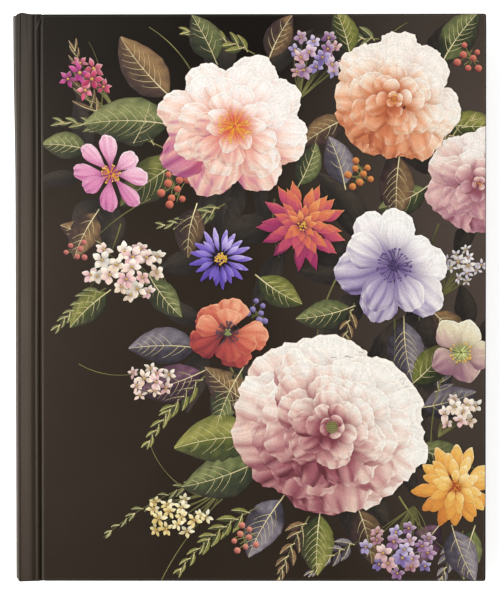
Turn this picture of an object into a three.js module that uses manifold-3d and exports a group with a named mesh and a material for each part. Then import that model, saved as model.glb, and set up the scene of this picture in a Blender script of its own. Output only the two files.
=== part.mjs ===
// Case-bound journal with a sewn text block, lying on its back cover.
// Millimetres: spine at -X, fore-edge at +X, head at +Y, front cover up at +Z.

import * as THREE from "three";
import { mergeVertices } from "three/addons/utils/BufferGeometryUtils.js";
import Module from "manifold-3d";

const wasm = await Module();
wasm.setup();

// Outer size of the case, seen from the front.
const CASE_WIDTH = 190;
const CASE_HEIGHT = 228.6;

// Case materials: printed paper wrap, greyboard in the covers and in the spine.
const WRAP = 0.3;
const BOARD = 2.3;
const SPINE_BOARD = 1.1;
const SPINE_CORNER = 1.4;
const EDGE_ROUND = 0.3;
const CORNER_ROUND = 0.9;
const TURN_IN = 15;
const GLUE = 0.02;

// Pressed joint, as distances from the spine face and depths below the cover face.
const HINGE_GAP = 0.05;
const BAND_START = 2.2;
const BAND_START_DROP = 0.05;
const BAND_CROWN_AT = 4.3;
const BAND_END = 6.6;
const BAND_DROP = 0.1;
const CREASE_AT = 7.3;
const CREASE_DEPTH = 0.45;
const RIDGE_AT = 8.2;
const RIDGE_DEPTH = 0.2;
const GROOVE_WALL = 0.9;
const WALL_BEND = 0.225;
const WALL_BEND_DEPTH = 0.9;
const GROOVE_FLOOR = 1.1;
const FLOOR_ROUND = 0.15;
const BOARD_START = 11;

// How finely curves are drawn, and how near points are welded or left out of a straight run.
const JOINT_STEPS = 28;
const ROUND_STEPS = 4;
const EDGE_STEPS = 2;
const CORNER_STEPS = 3;
const WELD = 1e-5;
const STRAIGHT = 0.005;

// Text block: folded sheets sewn in sections, with an endpaper sheet at each side.
const SQUARE = 3;
const HOLLOW_BACK = 2.3;
const SECTION_COUNT = 12;
const SHEETS_PER_SECTION = 4;
const LEAF = 0.1;
const LEAF_GAP = 0.025;
const SECTION_GAP = 0.05;
const ENDPAPER = 0.15;
const SWING_GAP = 0.15;
const FOLD_DEPTH = 0.95;

// Sewing: one thread a section, through slits in the fold, with a kettle stitch at each end.
const THREAD = 0.26;
const THREAD_ROOM = 0.07;
const SLIT = 0.5;
const STITCH_COUNT = 4;
const STITCH_PITCH = 44;
const STITCH_SPAN = 10;
const KETTLE_INSET = 17.3;
const KETTLE_SPAN = 6;
const THREAD_SIDES = 6;

// Lining of the text block's back, and the endbands at its head and tail.
const MULL = 0.3;
const MULL_MARGIN = 1.3;
const MULL_FLANGE = 18;
const MULL_ROUND = 0.5;
const LINER = 0.25;
const LINER_INSET = 3.3;
const BAND_BEAD = 1.7;
const TAPE_TO_MULL = 3.4;
const BAND_RIDGES = 12;
const BAND_RIDGE_RISE = 0.08;
const BAND_SIDES = 10;

// Places that follow from the sizes above.
const SPINE_X = -CASE_WIDTH / 2;
const FORE_X = CASE_WIDTH / 2;
const HEAD_Y = CASE_HEIGHT / 2;
const SPINE_THICK = WRAP + SPINE_BOARD + WRAP;
const SPINE_ROUND = Math.min(SPINE_CORNER, WRAP + SPINE_BOARD - GLUE);
const JOINT_X = SPINE_X + SPINE_THICK + HINGE_GAP;
const BOARD_X = SPINE_X + BOARD_START;
const FOLD_X = SPINE_X + SPINE_THICK + HOLLOW_BACK;
const PAGE_X = FORE_X - SQUARE;
const PAGE_Y = HEAD_Y - SQUARE;
const CORE = WRAP + BOARD + WRAP;
const COVER = CORE + ENDPAPER;
const LEAVES = 2 * SHEETS_PER_SECTION;
const SECTION = LEAVES * LEAF + (LEAVES - 1) * LEAF_GAP;
const SECTION_PITCH = SECTION + SECTION_GAP;
const FIRST_SECTION_Z = COVER + SWING_GAP + ENDPAPER + SECTION_GAP;
const TEXT_THICK = SECTION_COUNT * SECTION_PITCH - SECTION_GAP;
const THICKNESS = 2 * FIRST_SECTION_Z + TEXT_THICK;
const POCKET = THREAD / 2 + THREAD_ROOM;
const KETTLE_Y = PAGE_Y - KETTLE_INSET;
const MULL_Y = HEAD_Y - TURN_IN - MULL_MARGIN;
const MULL_X = FOLD_X - THREAD - 2 * THREAD_ROOM - MULL;

// A box between two corners.
function box(x0, x1, y0, y1, z0, z1) {
  const geometry = new THREE.BoxGeometry(x1 - x0, y1 - y0, z1 - z0);
  return geometry.translate((x0 + x1) / 2, (y0 + y1) / 2, (z0 + z1) / 2);
}

// An outline of [x, z] points drawn out along Y between two places.
function extrudeAlongY(outline, y0, y1) {
  const shape = new THREE.Shape(outline.map(([x, z]) => new THREE.Vector2(x, z)));
  const geometry = new THREE.ExtrudeGeometry(shape, { depth: y1 - y0, bevelEnabled: false });
  return geometry.rotateX(Math.PI / 2).translate(0, y1, 0);
}

// Points on an arc, from one angle to another, both ends included.
function arc(cx, cz, radius, from, to, steps) {
  const points = [];
  for (let i = 0; i <= steps; i++) {
    const angle = from + ((to - from) * i) / steps;
    points.push([cx + radius * Math.cos(angle), cz + radius * Math.sin(angle)]);
  }
  return points;
}

function toSolid(geometry) {
  const bare = new THREE.BufferGeometry();
  const loose = geometry.index ? geometry.toNonIndexed() : geometry;
  bare.setAttribute("position", loose.getAttribute("position"));
  const merged = mergeVertices(bare, WELD);
  return new wasm.Manifold(new wasm.Mesh({
    numProp: 3,
    vertProperties: merged.attributes.position.array,
    triVerts: new Uint32Array(merged.index.array),
  }));
}

function toGeometry(solid) {
  const mesh = solid.getMesh();
  const geometry = new THREE.BufferGeometry();
  geometry.setAttribute("position", new THREE.BufferAttribute(mesh.vertProperties, 3));
  geometry.setIndex(new THREE.BufferAttribute(mesh.triVerts, 1));
  return geometry;
}

function join(...geometries) {
  const solids = geometries.map(toSolid);
  return toGeometry(solids.reduce((whole, piece) => whole.add(piece)));
}

function cut(geometry, ...tools) {
  return toGeometry(tools.map(toSolid).reduce((whole, tool) => whole.subtract(tool), toSolid(geometry)));
}

// The same piece on the front cover: turned over about the middle of the thickness.
function onFront(geometry) {
  const flipped = mergeVertices(geometry.clone().deleteAttribute("normal").deleteAttribute("uv"), WELD);
  flipped.scale(1, 1, -1).translate(0, 0, THICKNESS);
  const index = flipped.index.array;
  for (let i = 0; i < index.length; i += 3) {
    [index[i + 1], index[i + 2]] = [index[i + 2], index[i + 1]];
  }
  return flipped;
}

// Cover board: plain greyboard, set in from the wrap by the wrap's thickness.
function coverBoard() {
  const inset = WRAP + GLUE;
  return box(
    BOARD_X + GLUE, FORE_X - inset,
    -HEAD_Y + inset, HEAD_Y - inset,
    inset, WRAP + BOARD - GLUE,
  );
}

// Cover wrap: paper over the board's face and three edges, turned in over its back.
function coverWrap() {
  const reach = TURN_IN + CORNER_ROUND;
  const x0 = BOARD_X - reach;
  const outline = new THREE.Shape();
  const right = FORE_X - EDGE_ROUND;
  const top = HEAD_Y - EDGE_ROUND;
  const round = CORNER_ROUND - EDGE_ROUND;
  outline.moveTo(x0, -top);
  outline.lineTo(right - round, -top);
  outline.absarc(right - round, -top + round, round, -Math.PI / 2, 0);
  outline.lineTo(right, top - round);
  outline.absarc(right - round, top - round, round, 0, Math.PI / 2);
  outline.lineTo(x0, top);
  const filled = new THREE.ExtrudeGeometry(outline, {
    depth: CORE - 2 * EDGE_ROUND,
    bevelThickness: EDGE_ROUND,
    bevelSize: EDGE_ROUND,
    bevelSegments: EDGE_STEPS,
    curveSegments: CORNER_STEPS,
  });
  filled.translate(0, 0, EDGE_ROUND);
  const jointSide = box(x0 - reach, BOARD_X, -CASE_HEIGHT, CASE_HEIGHT, -CORE, 2 * CORE);
  const boardRoom = box(
    BOARD_X - reach, FORE_X - WRAP,
    -HEAD_Y + WRAP, HEAD_Y - WRAP,
    WRAP, WRAP + BOARD,
  );
  const turnInWindow = box(
    BOARD_X - reach, FORE_X - TURN_IN,
    -HEAD_Y + TURN_IN, HEAD_Y - TURN_IN,
    WRAP + BOARD / 2, 2 * CORE,
  );
  return cut(filled, jointSide, boardRoom, turnInWindow);
}

function distanceToSegment([x, z], [ax, az], [bx, bz]) {
  const along = ((x - ax) * (bx - ax) + (z - az) * (bz - az)) / ((bx - ax) ** 2 + (bz - az) ** 2);
  const t = Math.min(Math.max(along, 0), 1);
  return Math.hypot(x - ax - t * (bx - ax), z - az - t * (bz - az));
}

// A run of points without those that lie on the straight line between their neighbours.
function withoutStraightPoints(points) {
  return points.filter((point, i) => {
    const inside = i > 0 && i < points.length - 1;
    return !inside || distanceToSegment(point, points[i - 1], points[i + 1]) > STRAIGHT;
  });
}

// Outer surface of the pressed joint as [x, depth] points, spine side first.
function jointSurface() {
  const wallX = BOARD_X - WRAP;
  const at = (u, depth) => new THREE.Vector3(SPINE_X + u, depth, 0);
  const floorEnd = BOARD_START - WRAP;
  const floorStart = floorEnd - GROOVE_FLOOR;
  const curve = new THREE.CatmullRomCurve3([
    new THREE.Vector3(JOINT_X, RIDGE_DEPTH, 0),
    at(BAND_START, BAND_START_DROP),
    at(BAND_CROWN_AT, 0),
    at(BAND_END, BAND_DROP),
    at(CREASE_AT, CREASE_DEPTH),
    at(RIDGE_AT, RIDGE_DEPTH),
    at(floorStart - GROOVE_WALL + WALL_BEND, WALL_BEND_DEPTH),
    at(floorStart, BOARD - FLOOR_ROUND),
    at(floorStart + GROOVE_FLOOR / 2, BOARD),
    at(floorEnd - FLOOR_ROUND, BOARD - FLOOR_ROUND),
    new THREE.Vector3(wallX, BOARD - 2 * WRAP, 0),
    new THREE.Vector3(wallX, BOARD / 2, 0),
    new THREE.Vector3(wallX, WRAP, 0),
  ], false, "centripetal");
  const points = curve.getSpacedPoints(JOINT_STEPS).map((p) => [Math.min(p.x, wallX), Math.max(p.y, 0)]);
  return withoutStraightPoints(points);
}

// The surface moved inwards along its own normals, without the points where a tight bend folds it.
function inwards(surface, distance) {
  const moved = surface.map(([x, z], i) => {
    const [ax, az] = surface[Math.max(i - 1, 0)];
    const [bx, bz] = surface[Math.min(i + 1, surface.length - 1)];
    const length = Math.hypot(bx - ax, bz - az);
    return [x - (distance * (bz - az)) / length, z + (distance * (bx - ax)) / length];
  });
  const clear = moved.filter((point) => {
    const gaps = surface.slice(1).map((end, i) => distanceToSegment(point, surface[i], end));
    return Math.min(...gaps) > distance - GLUE;
  });
  return withoutStraightPoints(clear);
}

// Joint strip: the wrap between spine and board, pressed into the groove beside the board.
// It is doubled at head and tail, where it is turned in, and single between.
function jointStrip() {
  const surface = jointSurface();
  const corner = arc(BOARD_X, WRAP, WRAP, Math.PI, 1.5 * Math.PI, ROUND_STEPS).slice(1);
  const floorX = BOARD_X - WRAP - GROOVE_FLOOR / 2;
  const doubled = inwards(surface, 2 * WRAP).filter(([x]) => x < floorX);
  const lining = inwards(surface, WRAP).slice(1).filter(([x]) => x < BOARD_X - 2 * GLUE);
  const clear = TURN_IN;
  const under = [
    [JOINT_X - clear, lining[0][1]],
    ...lining,
    [BOARD_X + WRAP, BOARD / 2],
    [BOARD_X + WRAP, BOARD + clear],
    [JOINT_X - clear, BOARD + clear],
  ];
  const outline = [...surface, ...corner, [BOARD_X, CORE], [floorX, CORE], ...doubled.reverse()];
  const single = HEAD_Y - TURN_IN;
  return cut(extrudeAlongY(outline, -HEAD_Y, HEAD_Y), extrudeAlongY(under, -single, single));
}

// Pastedown: endpaper leaf on the board, lying over the turn-ins and sunk between them.
function pastedown() {
  const step = ENDPAPER + GLUE;
  const windowX0 = BOARD_X + MULL_FLANGE + GLUE;
  const windowX1 = FORE_X - TURN_IN - GLUE;
  const windowY = HEAD_Y - TURN_IN - GLUE;
  const sheet = box(FOLD_X, PAGE_X, -PAGE_Y, PAGE_Y, CORE, COVER);
  const sunk = box(windowX0, windowX1, -windowY, windowY, WRAP + BOARD + GLUE, CORE + GLUE);
  const hollow = box(
    windowX0 + step, windowX1 - step,
    -windowY + step, windowY - step,
    WRAP + BOARD + GLUE + ENDPAPER, COVER + GLUE,
  );
  return cut(join(sheet, sunk), hollow);
}

// Flyleaf: the loose half of the endpaper, tipped to the first page.
function flyleaf() {
  const z0 = COVER + SWING_GAP;
  return box(FOLD_X + SECTION_GAP, PAGE_X, -PAGE_Y, PAGE_Y, z0, z0 + ENDPAPER);
}

// The spine's section across the book, moved in from its face by a distance.
function spineOutline(inset, innerX) {
  const round = SPINE_ROUND - inset;
  const z0 = inset;
  const z1 = THICKNESS - inset;
  return [
    [innerX, z0],
    ...arc(SPINE_X + SPINE_ROUND, SPINE_ROUND, round, 1.5 * Math.PI, Math.PI, ROUND_STEPS),
    ...arc(SPINE_X + SPINE_ROUND, THICKNESS - SPINE_ROUND, round, Math.PI, 0.5 * Math.PI, ROUND_STEPS),
    [innerX, z1],
  ];
}

function spineBoard() {
  const inset = WRAP + GLUE;
  const end = HEAD_Y - inset;
  return extrudeAlongY(spineOutline(inset, SPINE_X + WRAP + SPINE_BOARD - GLUE), -end, end);
}

// Spine wrap: paper round the spine board, turned in at head and tail.
function spineWrap() {
  const innerX = SPINE_X + SPINE_THICK;
  const boardX = SPINE_X + WRAP + SPINE_BOARD;
  const filled = extrudeAlongY(spineOutline(0, innerX), -HEAD_Y, HEAD_Y);
  const boardRoom = extrudeAlongY(spineOutline(WRAP, boardX), -HEAD_Y + WRAP, HEAD_Y - WRAP);
  const hollow = box(
    (SPINE_X + boardX) / 2, innerX + SPINE_THICK,
    -HEAD_Y + TURN_IN, HEAD_Y - TURN_IN,
    SPINE_ROUND, THICKNESS - SPINE_ROUND,
  );
  return cut(filled, boardRoom, hollow);
}

function sectionZ(index) {
  return FIRST_SECTION_Z + (SECTION_COUNT - 1 - index) * SECTION_PITCH;
}

// Section: nested folded sheets, one at the fold, open between the leaves, with sewing slits.
function section(index) {
  const z0 = sectionZ(index);
  const z1 = z0 + SECTION;
  const middle = (z0 + z1) / 2;
  const back = SECTION / 2;
  const pocketX = FOLD_X + 2 * POCKET;
  const mouth = Math.asin(LEAF_GAP / 2 / POCKET);
  const outline = arc(FOLD_X + back, middle, back, 1.5 * Math.PI, 0.5 * Math.PI, 2 * ROUND_STEPS);
  outline.shift();
  outline.pop();
  outline.unshift([FOLD_X + back, z0]);
  outline.push([FOLD_X + back, z1]);
  for (let leaf = LEAVES - 1; leaf >= 0; leaf--) {
    const bottom = z0 + leaf * (LEAF + LEAF_GAP);
    outline.push([PAGE_X, bottom + LEAF], [PAGE_X, bottom]);
    if (leaf === SHEETS_PER_SECTION) {
      outline.push(...arc(pocketX, middle, POCKET, mouth, 2 * Math.PI - mouth, 2 * ROUND_STEPS));
    } else if (leaf > 0) {
      outline.push([FOLD_X + FOLD_DEPTH, bottom], [FOLD_X + FOLD_DEPTH, bottom - LEAF_GAP]);
    }
  }
  const slits = stitchEnds().map((y) => box(
    FOLD_X - SLIT, pocketX,
    y - SLIT / 2, y + SLIT / 2,
    middle - POCKET, middle + POCKET,
  ));
  return cut(extrudeAlongY(outline, -PAGE_Y, PAGE_Y), ...slits);
}

// Where the thread passes through the fold, from tail to head.
function stitchEnds() {
  const places = [-KETTLE_Y];
  for (let i = 0; i < STITCH_COUNT; i++) {
    const y = (i - (STITCH_COUNT - 1) / 2) * STITCH_PITCH;
    places.push(y - STITCH_SPAN / 2, y + STITCH_SPAN / 2);
  }
  places.push(KETTLE_Y);
  return places;
}

// Thread: along the inside of the fold, out and in again at each stitch, tied off at both ends.
function sewingThread(index) {
  const z = sectionZ(index) + SECTION / 2;
  const insideX = FOLD_X + 2 * POCKET;
  const outsideX = FOLD_X - THREAD / 2 - THREAD_ROOM;
  const places = stitchEnds();
  const points = [new THREE.Vector3(outsideX, places[0] - KETTLE_SPAN, z)];
  places.forEach((y, i) => {
    const [first, second] = i % 2 ? [insideX, outsideX] : [outsideX, insideX];
    points.push(new THREE.Vector3(first, y, z), new THREE.Vector3(second, y, z));
  });
  points.push(new THREE.Vector3(outsideX, places[places.length - 1] + KETTLE_SPAN, z));
  return tube(points, THREAD / 2);
}

// A closed tube round a run of straight lengths in one level, mitred at each bend.
function tube(points, radius) {
  const positions = [];
  const last = points.length - 1;
  points.forEach((point, i) => {
    const before = points[Math.max(i - 1, 0)];
    const after = points[Math.min(i + 1, last)];
    const into = point.clone().sub(before).normalize();
    const out = after.clone().sub(point).normalize();
    if (i === 0) into.copy(out);
    if (i === last) out.copy(into);
    const along = into.clone().add(out).normalize();
    const side = new THREE.Vector3(along.y, -along.x, 0);
    const stretch = radius / side.dot(new THREE.Vector3(into.y, -into.x, 0));
    for (let k = 0; k < THREAD_SIDES; k++) {
      const angle = (2 * Math.PI * k) / THREAD_SIDES;
      const ring = point.clone().addScaledVector(side, stretch * Math.cos(angle));
      positions.push(ring.x, ring.y, ring.z + radius * Math.sin(angle));
    }
  });
  const index = [];
  for (let i = 0; i < last; i++) {
    for (let k = 0; k < THREAD_SIDES; k++) {
      const a = i * THREAD_SIDES + k;
      const b = i * THREAD_SIDES + ((k + 1) % THREAD_SIDES);
      index.push(a, a + THREAD_SIDES, b, b, a + THREAD_SIDES, b + THREAD_SIDES);
    }
  }
  for (let k = 1; k < THREAD_SIDES - 1; k++) {
    const end = last * THREAD_SIDES;
    index.push(0, k, k + 1, end, end + k + 1, end + k);
  }
  const geometry = new THREE.BufferGeometry();
  geometry.setAttribute("position", new THREE.Float32BufferAttribute(positions, 3));
  geometry.setIndex(index);
  return geometry;
}

// Mull: open cloth over the folds, with a flange glued under each pastedown.
function mull() {
  const z0 = WRAP + BOARD + GLUE;
  const z1 = THICKNESS - z0;
  const flangeX = BOARD_X + MULL_FLANGE;
  const inner = MULL_ROUND - MULL;
  const thick = MULL - 2 * GLUE;
  const innerX = MULL_X + thick;
  const outline = [
    [flangeX, z0],
    ...arc(MULL_X + MULL_ROUND, z0 + MULL_ROUND, MULL_ROUND, 1.5 * Math.PI, Math.PI, ROUND_STEPS),
    ...arc(MULL_X + MULL_ROUND, z1 - MULL_ROUND, MULL_ROUND, Math.PI, 0.5 * Math.PI, ROUND_STEPS),
    [flangeX, z1],
    [flangeX, z1 - thick],
    ...arc(innerX + inner, z1 - thick - inner, inner, 0.5 * Math.PI, Math.PI, ROUND_STEPS),
    ...arc(innerX + inner, z0 + thick + inner, inner, Math.PI, 1.5 * Math.PI, ROUND_STEPS),
    [flangeX, z0 + thick],
  ];
  return extrudeAlongY(outline, -MULL_Y, MULL_Y);
}

function spineLiner() {
  const x1 = MULL_X - GLUE;
  const y = PAGE_Y - LINER_INSET;
  return box(x1 - LINER, x1, -y, y, FIRST_SECTION_Z, THICKNESS - FIRST_SECTION_Z);
}

// Endband: a silk-wound bead over the folds' ends, on a tape that is glued down the back.
function endband(side) {
  const z0 = FIRST_SECTION_Z;
  const z1 = THICKNESS - FIRST_SECTION_Z;
  const radius = BAND_BEAD / 2;
  const centreY = PAGE_Y + SECTION_GAP + radius;
  const centreX = MULL_X + radius;
  const tapeX = FOLD_X - SECTION_GAP;
  const tape = box(MULL_X, tapeX, MULL_Y + TAPE_TO_MULL, centreY, z0, z1);
  const profile = [new THREE.Vector2(0, z0)];
  const ridge = (z1 - z0) / BAND_RIDGES;
  for (let i = 0; i < BAND_RIDGES; i++) {
    profile.push(new THREE.Vector2(radius - BAND_RIDGE_RISE, z0 + i * ridge));
    profile.push(new THREE.Vector2(radius, z0 + (i + 0.5) * ridge));
  }
  profile.push(new THREE.Vector2(radius - BAND_RIDGE_RISE, z1), new THREE.Vector2(0, z1));
  const bead = new THREE.LatheGeometry(profile, BAND_SIDES);
  bead.rotateX(Math.PI / 2).translate(centreX, centreY, 0);
  const band = join(bead, tape);
  return side > 0 ? band : band.rotateX(Math.PI).translate(0, 0, THICKNESS);
}

const FINISHES = {
  wrap: { color: 0x2f2824, roughness: 0.45 },
  board: { color: 0x8f8a80, roughness: 0.9 },
  endpaper: { color: 0xe6dcc4, roughness: 0.85 },
  paper: { color: 0xf3ecda, roughness: 0.9 },
  thread: { color: 0xf0eadb, roughness: 0.8 },
  cloth: { color: 0xd9d2c0, roughness: 0.95 },
  silk: { color: 0x7a2f3a, roughness: 0.5 },
};

const journal = new THREE.Group();
journal.name = "journal";

function add(name, geometry, finish) {
  const material = new THREE.MeshStandardMaterial({ ...finish, metalness: 0 });
  const mesh = new THREE.Mesh(geometry, material);
  mesh.name = name;
  journal.add(mesh);
}

function addCover(side, place) {
  add(side + "_board", place(coverBoard()), FINISHES.board);
  add(side + "_cover_wrap", place(coverWrap()), FINISHES.wrap);
  add(side + "_joint_strip", place(jointStrip()), FINISHES.wrap);
  add(side + "_pastedown", place(pastedown()), FINISHES.endpaper);
  add(side + "_flyleaf", place(flyleaf()), FINISHES.endpaper);
}

addCover("back", (geometry) => geometry);
addCover("front", onFront);
add("spine_board", spineBoard(), FINISHES.board);
add("spine_wrap", spineWrap(), FINISHES.wrap);
for (let i = 0; i < SECTION_COUNT; i++) {
  const number = String(i + 1).padStart(2, "0");
  add("section_" + number, section(i), FINISHES.paper);
  add("thread_" + number, sewingThread(i), FINISHES.thread);
}
add("mull", mull(), FINISHES.cloth);
add("spine_liner", spineLiner(), FINISHES.board);
add("headband", endband(1), FINISHES.silk);
add("tailband", endband(-1), FINISHES.silk);

export default journal;
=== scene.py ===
import math

import bmesh
import bpy
import numpy as np
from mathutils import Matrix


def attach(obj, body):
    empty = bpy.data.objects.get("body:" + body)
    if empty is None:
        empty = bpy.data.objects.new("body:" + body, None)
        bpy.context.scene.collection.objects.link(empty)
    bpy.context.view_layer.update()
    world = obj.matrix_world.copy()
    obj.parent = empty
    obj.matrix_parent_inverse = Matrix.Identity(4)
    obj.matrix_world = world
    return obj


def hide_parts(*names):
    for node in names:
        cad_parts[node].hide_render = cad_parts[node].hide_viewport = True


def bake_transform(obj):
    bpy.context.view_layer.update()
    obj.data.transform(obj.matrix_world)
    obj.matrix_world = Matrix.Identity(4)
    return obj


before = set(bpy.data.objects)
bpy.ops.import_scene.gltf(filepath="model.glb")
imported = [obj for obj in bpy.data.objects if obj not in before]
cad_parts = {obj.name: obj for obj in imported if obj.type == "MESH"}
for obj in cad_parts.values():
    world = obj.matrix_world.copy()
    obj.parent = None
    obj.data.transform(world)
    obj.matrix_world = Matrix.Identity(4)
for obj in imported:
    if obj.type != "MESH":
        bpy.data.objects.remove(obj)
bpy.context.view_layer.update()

# The place of the picture: the journal lies closed and face up, and is seen from straight above.
# The camera stands a touch towards the head and the fore edge, so the head comes out slightly wider.
MM = 0.001
TOP = 19.05
PICTURE_HEIGHT = 239.65
CAMERA_DISTANCE = 800.0
CAMERA_LENS = 120.0
HEAD_LEAN = math.radians(1.0)
FORE_LEAN = math.radians(0.5)
CAMERA_ROLL = math.radians(-0.04)
PICTURE_CENTRE = (0.0, 0.27)

camera = bpy.data.objects.new("camera", bpy.data.cameras.new("camera"))
bpy.context.scene.collection.objects.link(camera)
camera.data.lens = CAMERA_LENS
camera.data.sensor_width = 2 * CAMERA_LENS * (PICTURE_HEIGHT / 2) / CAMERA_DISTANCE
camera.data.clip_start, camera.data.clip_end = 0.05, 20
camera.location = (
    (PICTURE_CENTRE[0] + CAMERA_DISTANCE * math.sin(FORE_LEAN)) * MM,
    (PICTURE_CENTRE[1] + CAMERA_DISTANCE * math.sin(HEAD_LEAN)) * MM,
    (TOP + CAMERA_DISTANCE) * MM,
)
camera.rotation_euler = (-HEAD_LEAN, FORE_LEAN, CAMERA_ROLL)
bpy.context.scene.camera = camera
bpy.context.scene.view_settings.view_transform = "Standard"


# The table and the light: a white sweep in a bright studio with a dark ceiling and pale walls. A small warm
# lamp overhead and two long ones at the spine side, one high and one low, shine back from the joint, and a
# fourth stands low at the head. The table keeps the shadow.
def new_material(name):
    material = bpy.data.materials.new(name)
    material.use_nodes = True
    return material, material.node_tree.nodes["Principled BSDF"]


def feed(owner, socket, value):
    """Joins another node's output to a socket, or sets a plain value on it."""
    if isinstance(value, bpy.types.NodeSocket):
        owner.node_tree.links.new(value, socket)
    else:
        socket.default_value = value


def node(owner, kind, inputs=(), **settings):
    made = owner.node_tree.nodes.new(kind)
    for key, value in settings.items():
        setattr(made, key, value)
    for key, value in dict(inputs).items():
        feed(owner, made.inputs[key], value)
    return made


def spread(owner, value, before, after, way="LINEAR"):
    """Carries a value from one range over to another."""
    return node(owner, "ShaderNodeMapRange", {
        "Value": value, "From Min": before[0], "From Max": before[1], "To Min": after[0], "To Max": after[1],
    }, interpolation_type=way).outputs["Result"]


def reckon(owner, operation, a, b=0.5):
    return node(owner, "ShaderNodeMath", {0: a, 1: b}, operation=operation).outputs[0]


def part_of(owner, vector, axis):
    return node(owner, "ShaderNodeSeparateXYZ", {0: vector}).outputs[axis]


def soft_lamp(name, place, size, power, colour=(1, 1, 1)):
    lamp = bpy.data.lights.new(name, "AREA")
    lamp.shape = "RECTANGLE"
    lamp.size, lamp.size_y = size
    lamp.energy = power
    lamp.color = colour
    holder = bpy.data.objects.new(name, lamp)
    bpy.context.scene.collection.objects.link(holder)
    holder.location = place
    holder.rotation_euler = (-holder.location).to_track_quat("-Z", "Y").to_euler()
    holder.visible_camera = False


soft_lamp("lamp_overhead", (-0.5, 0.05, 1.15), (0.62, 0.34), 3.1, (1.0, 0.93, 0.86))
soft_lamp("lamp_spine_side", (-1.5, 0.16, 1.08), (1.76, 1.1), 11.5, (1.0, 0.97, 0.93))
soft_lamp("lamp_spine_low", (-1.6, 0.08, 0.34), (1.85, 0.555), 28.0, (1.0, 0.98, 0.96))
soft_lamp("lamp_head", (-0.15, 1.0, 0.65), (0.9, 0.4), 2.0)

STUDIO_WHITE = (1.0, 0.985, 0.965, 1)
WALL_LIGHT, CEILING_LIGHT = 0.54, 0.1
CEILING_STARTS, CEILING_FULL = 0.8, 0.97
world = bpy.data.worlds.new("studio")
world.use_nodes = True
bpy.context.scene.world = world
upward = part_of(world, node(world, "ShaderNodeTexCoord").outputs["Generated"], "Z")
dome = spread(world, upward, (CEILING_STARTS, CEILING_FULL), (WALL_LIGHT, CEILING_LIGHT), "SMOOTHSTEP")
straight = node(world, "ShaderNodeLightPath").outputs["Is Camera Ray"]
backing = world.node_tree.nodes["Background"]
feed(world, backing.inputs["Color"], STUDIO_WHITE)
feed(world, backing.inputs["Strength"], spread(world, straight, (0, 1), (dome, 1.0)))

TABLE_SIDE, TABLE_TOP = 6.0, -0.0001
TABLE_WHITE, TABLE_SHINE = 0.78, 0.68
table_paper, table_shader = new_material("table_paper")
table_seen = node(table_paper, "ShaderNodeLightPath").outputs["Is Camera Ray"]
for socket, value in (
    ("Base Color", (TABLE_WHITE,) * 3 + (1,)), ("Roughness", 0.9), ("Emission Color", (1, 1, 1, 1)),
    ("Emission Strength", reckon(table_paper, "MULTIPLY", table_seen, TABLE_SHINE)),
):
    feed(table_paper, table_shader.inputs[socket], value)
half = TABLE_SIDE / 2
table_mesh = bpy.data.meshes.new("table")
table_mesh.from_pydata(
    [(x, y, TABLE_TOP) for x, y in ((-half, -half), (half, -half), (half, half), (-half, half))],
    [], [(0, 1, 2, 3)],
)
table_mesh.materials.append(table_paper)
table = bpy.data.objects.new("table", table_mesh)
bpy.context.scene.collection.objects.link(table)


# Cover paper: one sheet of printed paper for each board, laminated with a satin film. It is glued over the
# board, rolled over its edges, where the film stretches and dulls, and turned in 15 mm on the inside. Just
# inside each edge the face carries a painted highlight, and the rolled edge is darkened with painted shade.
def solid_piece(name, points, faces, material, smooth_below=35):
    """A closed mesh from points in millimetres, with its faces turned outwards."""
    mesh = bpy.data.meshes.new(name)
    mesh.from_pydata([(x * MM, y * MM, z * MM) for x, y, z in points], [], faces)
    mesh.materials.append(material)
    work = bmesh.new()
    work.from_mesh(mesh)
    bmesh.ops.recalc_face_normals(work, faces=work.faces)
    work.to_mesh(mesh)
    work.free()
    mesh.shade_smooth()
    mesh.set_sharp_from_angle(angle=math.radians(smooth_below))
    for face in mesh.polygons:
        face.use_smooth = len(face.vertices) == 4
    piece = bpy.data.objects.new(name, mesh)
    bpy.context.scene.collection.objects.link(piece)
    return piece


def spot(material):
    return node(material, "ShaderNodeTexCoord").outputs["Object"]


def noise(material, place, scale, detail, roughness=0.5):
    return node(material, "ShaderNodeTexNoise", {
        "Vector": place, "Scale": scale, "Detail": detail, "Roughness": roughness,
    }).outputs["Fac"]


def stirred(material, share, a, b):
    """Two colours mixed by a share."""
    mix = node(material, "ShaderNodeMix", {"Factor": share, "A": a, "B": b}, data_type="RGBA")
    return mix.outputs["Result"]


def combined(material, operation, a, b, result="Vector"):
    return node(material, "ShaderNodeVectorMath", {0: a, 1: b}, operation=operation).outputs[result]


def scaled(material, colour, factor):
    return node(material, "ShaderNodeVectorMath", {0: colour, "Scale": factor}, operation="SCALE").outputs[0]


def dress(material, shader, colour, roughness, relief, strength, depth, **plain):
    """Gives a shader its colour, roughness and fine relief, and the plain values of its other sockets."""
    bump = node(material, "ShaderNodeBump", {"Height": relief, "Strength": strength, "Distance": depth})
    normal = bump.outputs["Normal"]
    for name, value in (("Base Color", colour), ("Roughness", roughness), ("Normal", normal)):
        feed(material, shader.inputs[name], value)
    for name, value in plain.items():
        shader.inputs[name.replace("_", " ")].default_value = value
    return material


MIDDLE = (0.3, 0.7)
GLOW_INK, GLOW_REACH = (0.083, 0.064, 0.053), 0.115
GLOW_SPREAD, GLOW_AT = (1.25, 0.58, 0.0), (0.118, 0.024, 0.0)
WEAR_AND_HIGHLIGHT_INK = (0.30, 0.26, 0.22, 1)
EDGE_SHADE_TONE, STRETCHED_ROUGHNESS = 0.1, 0.95


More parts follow.
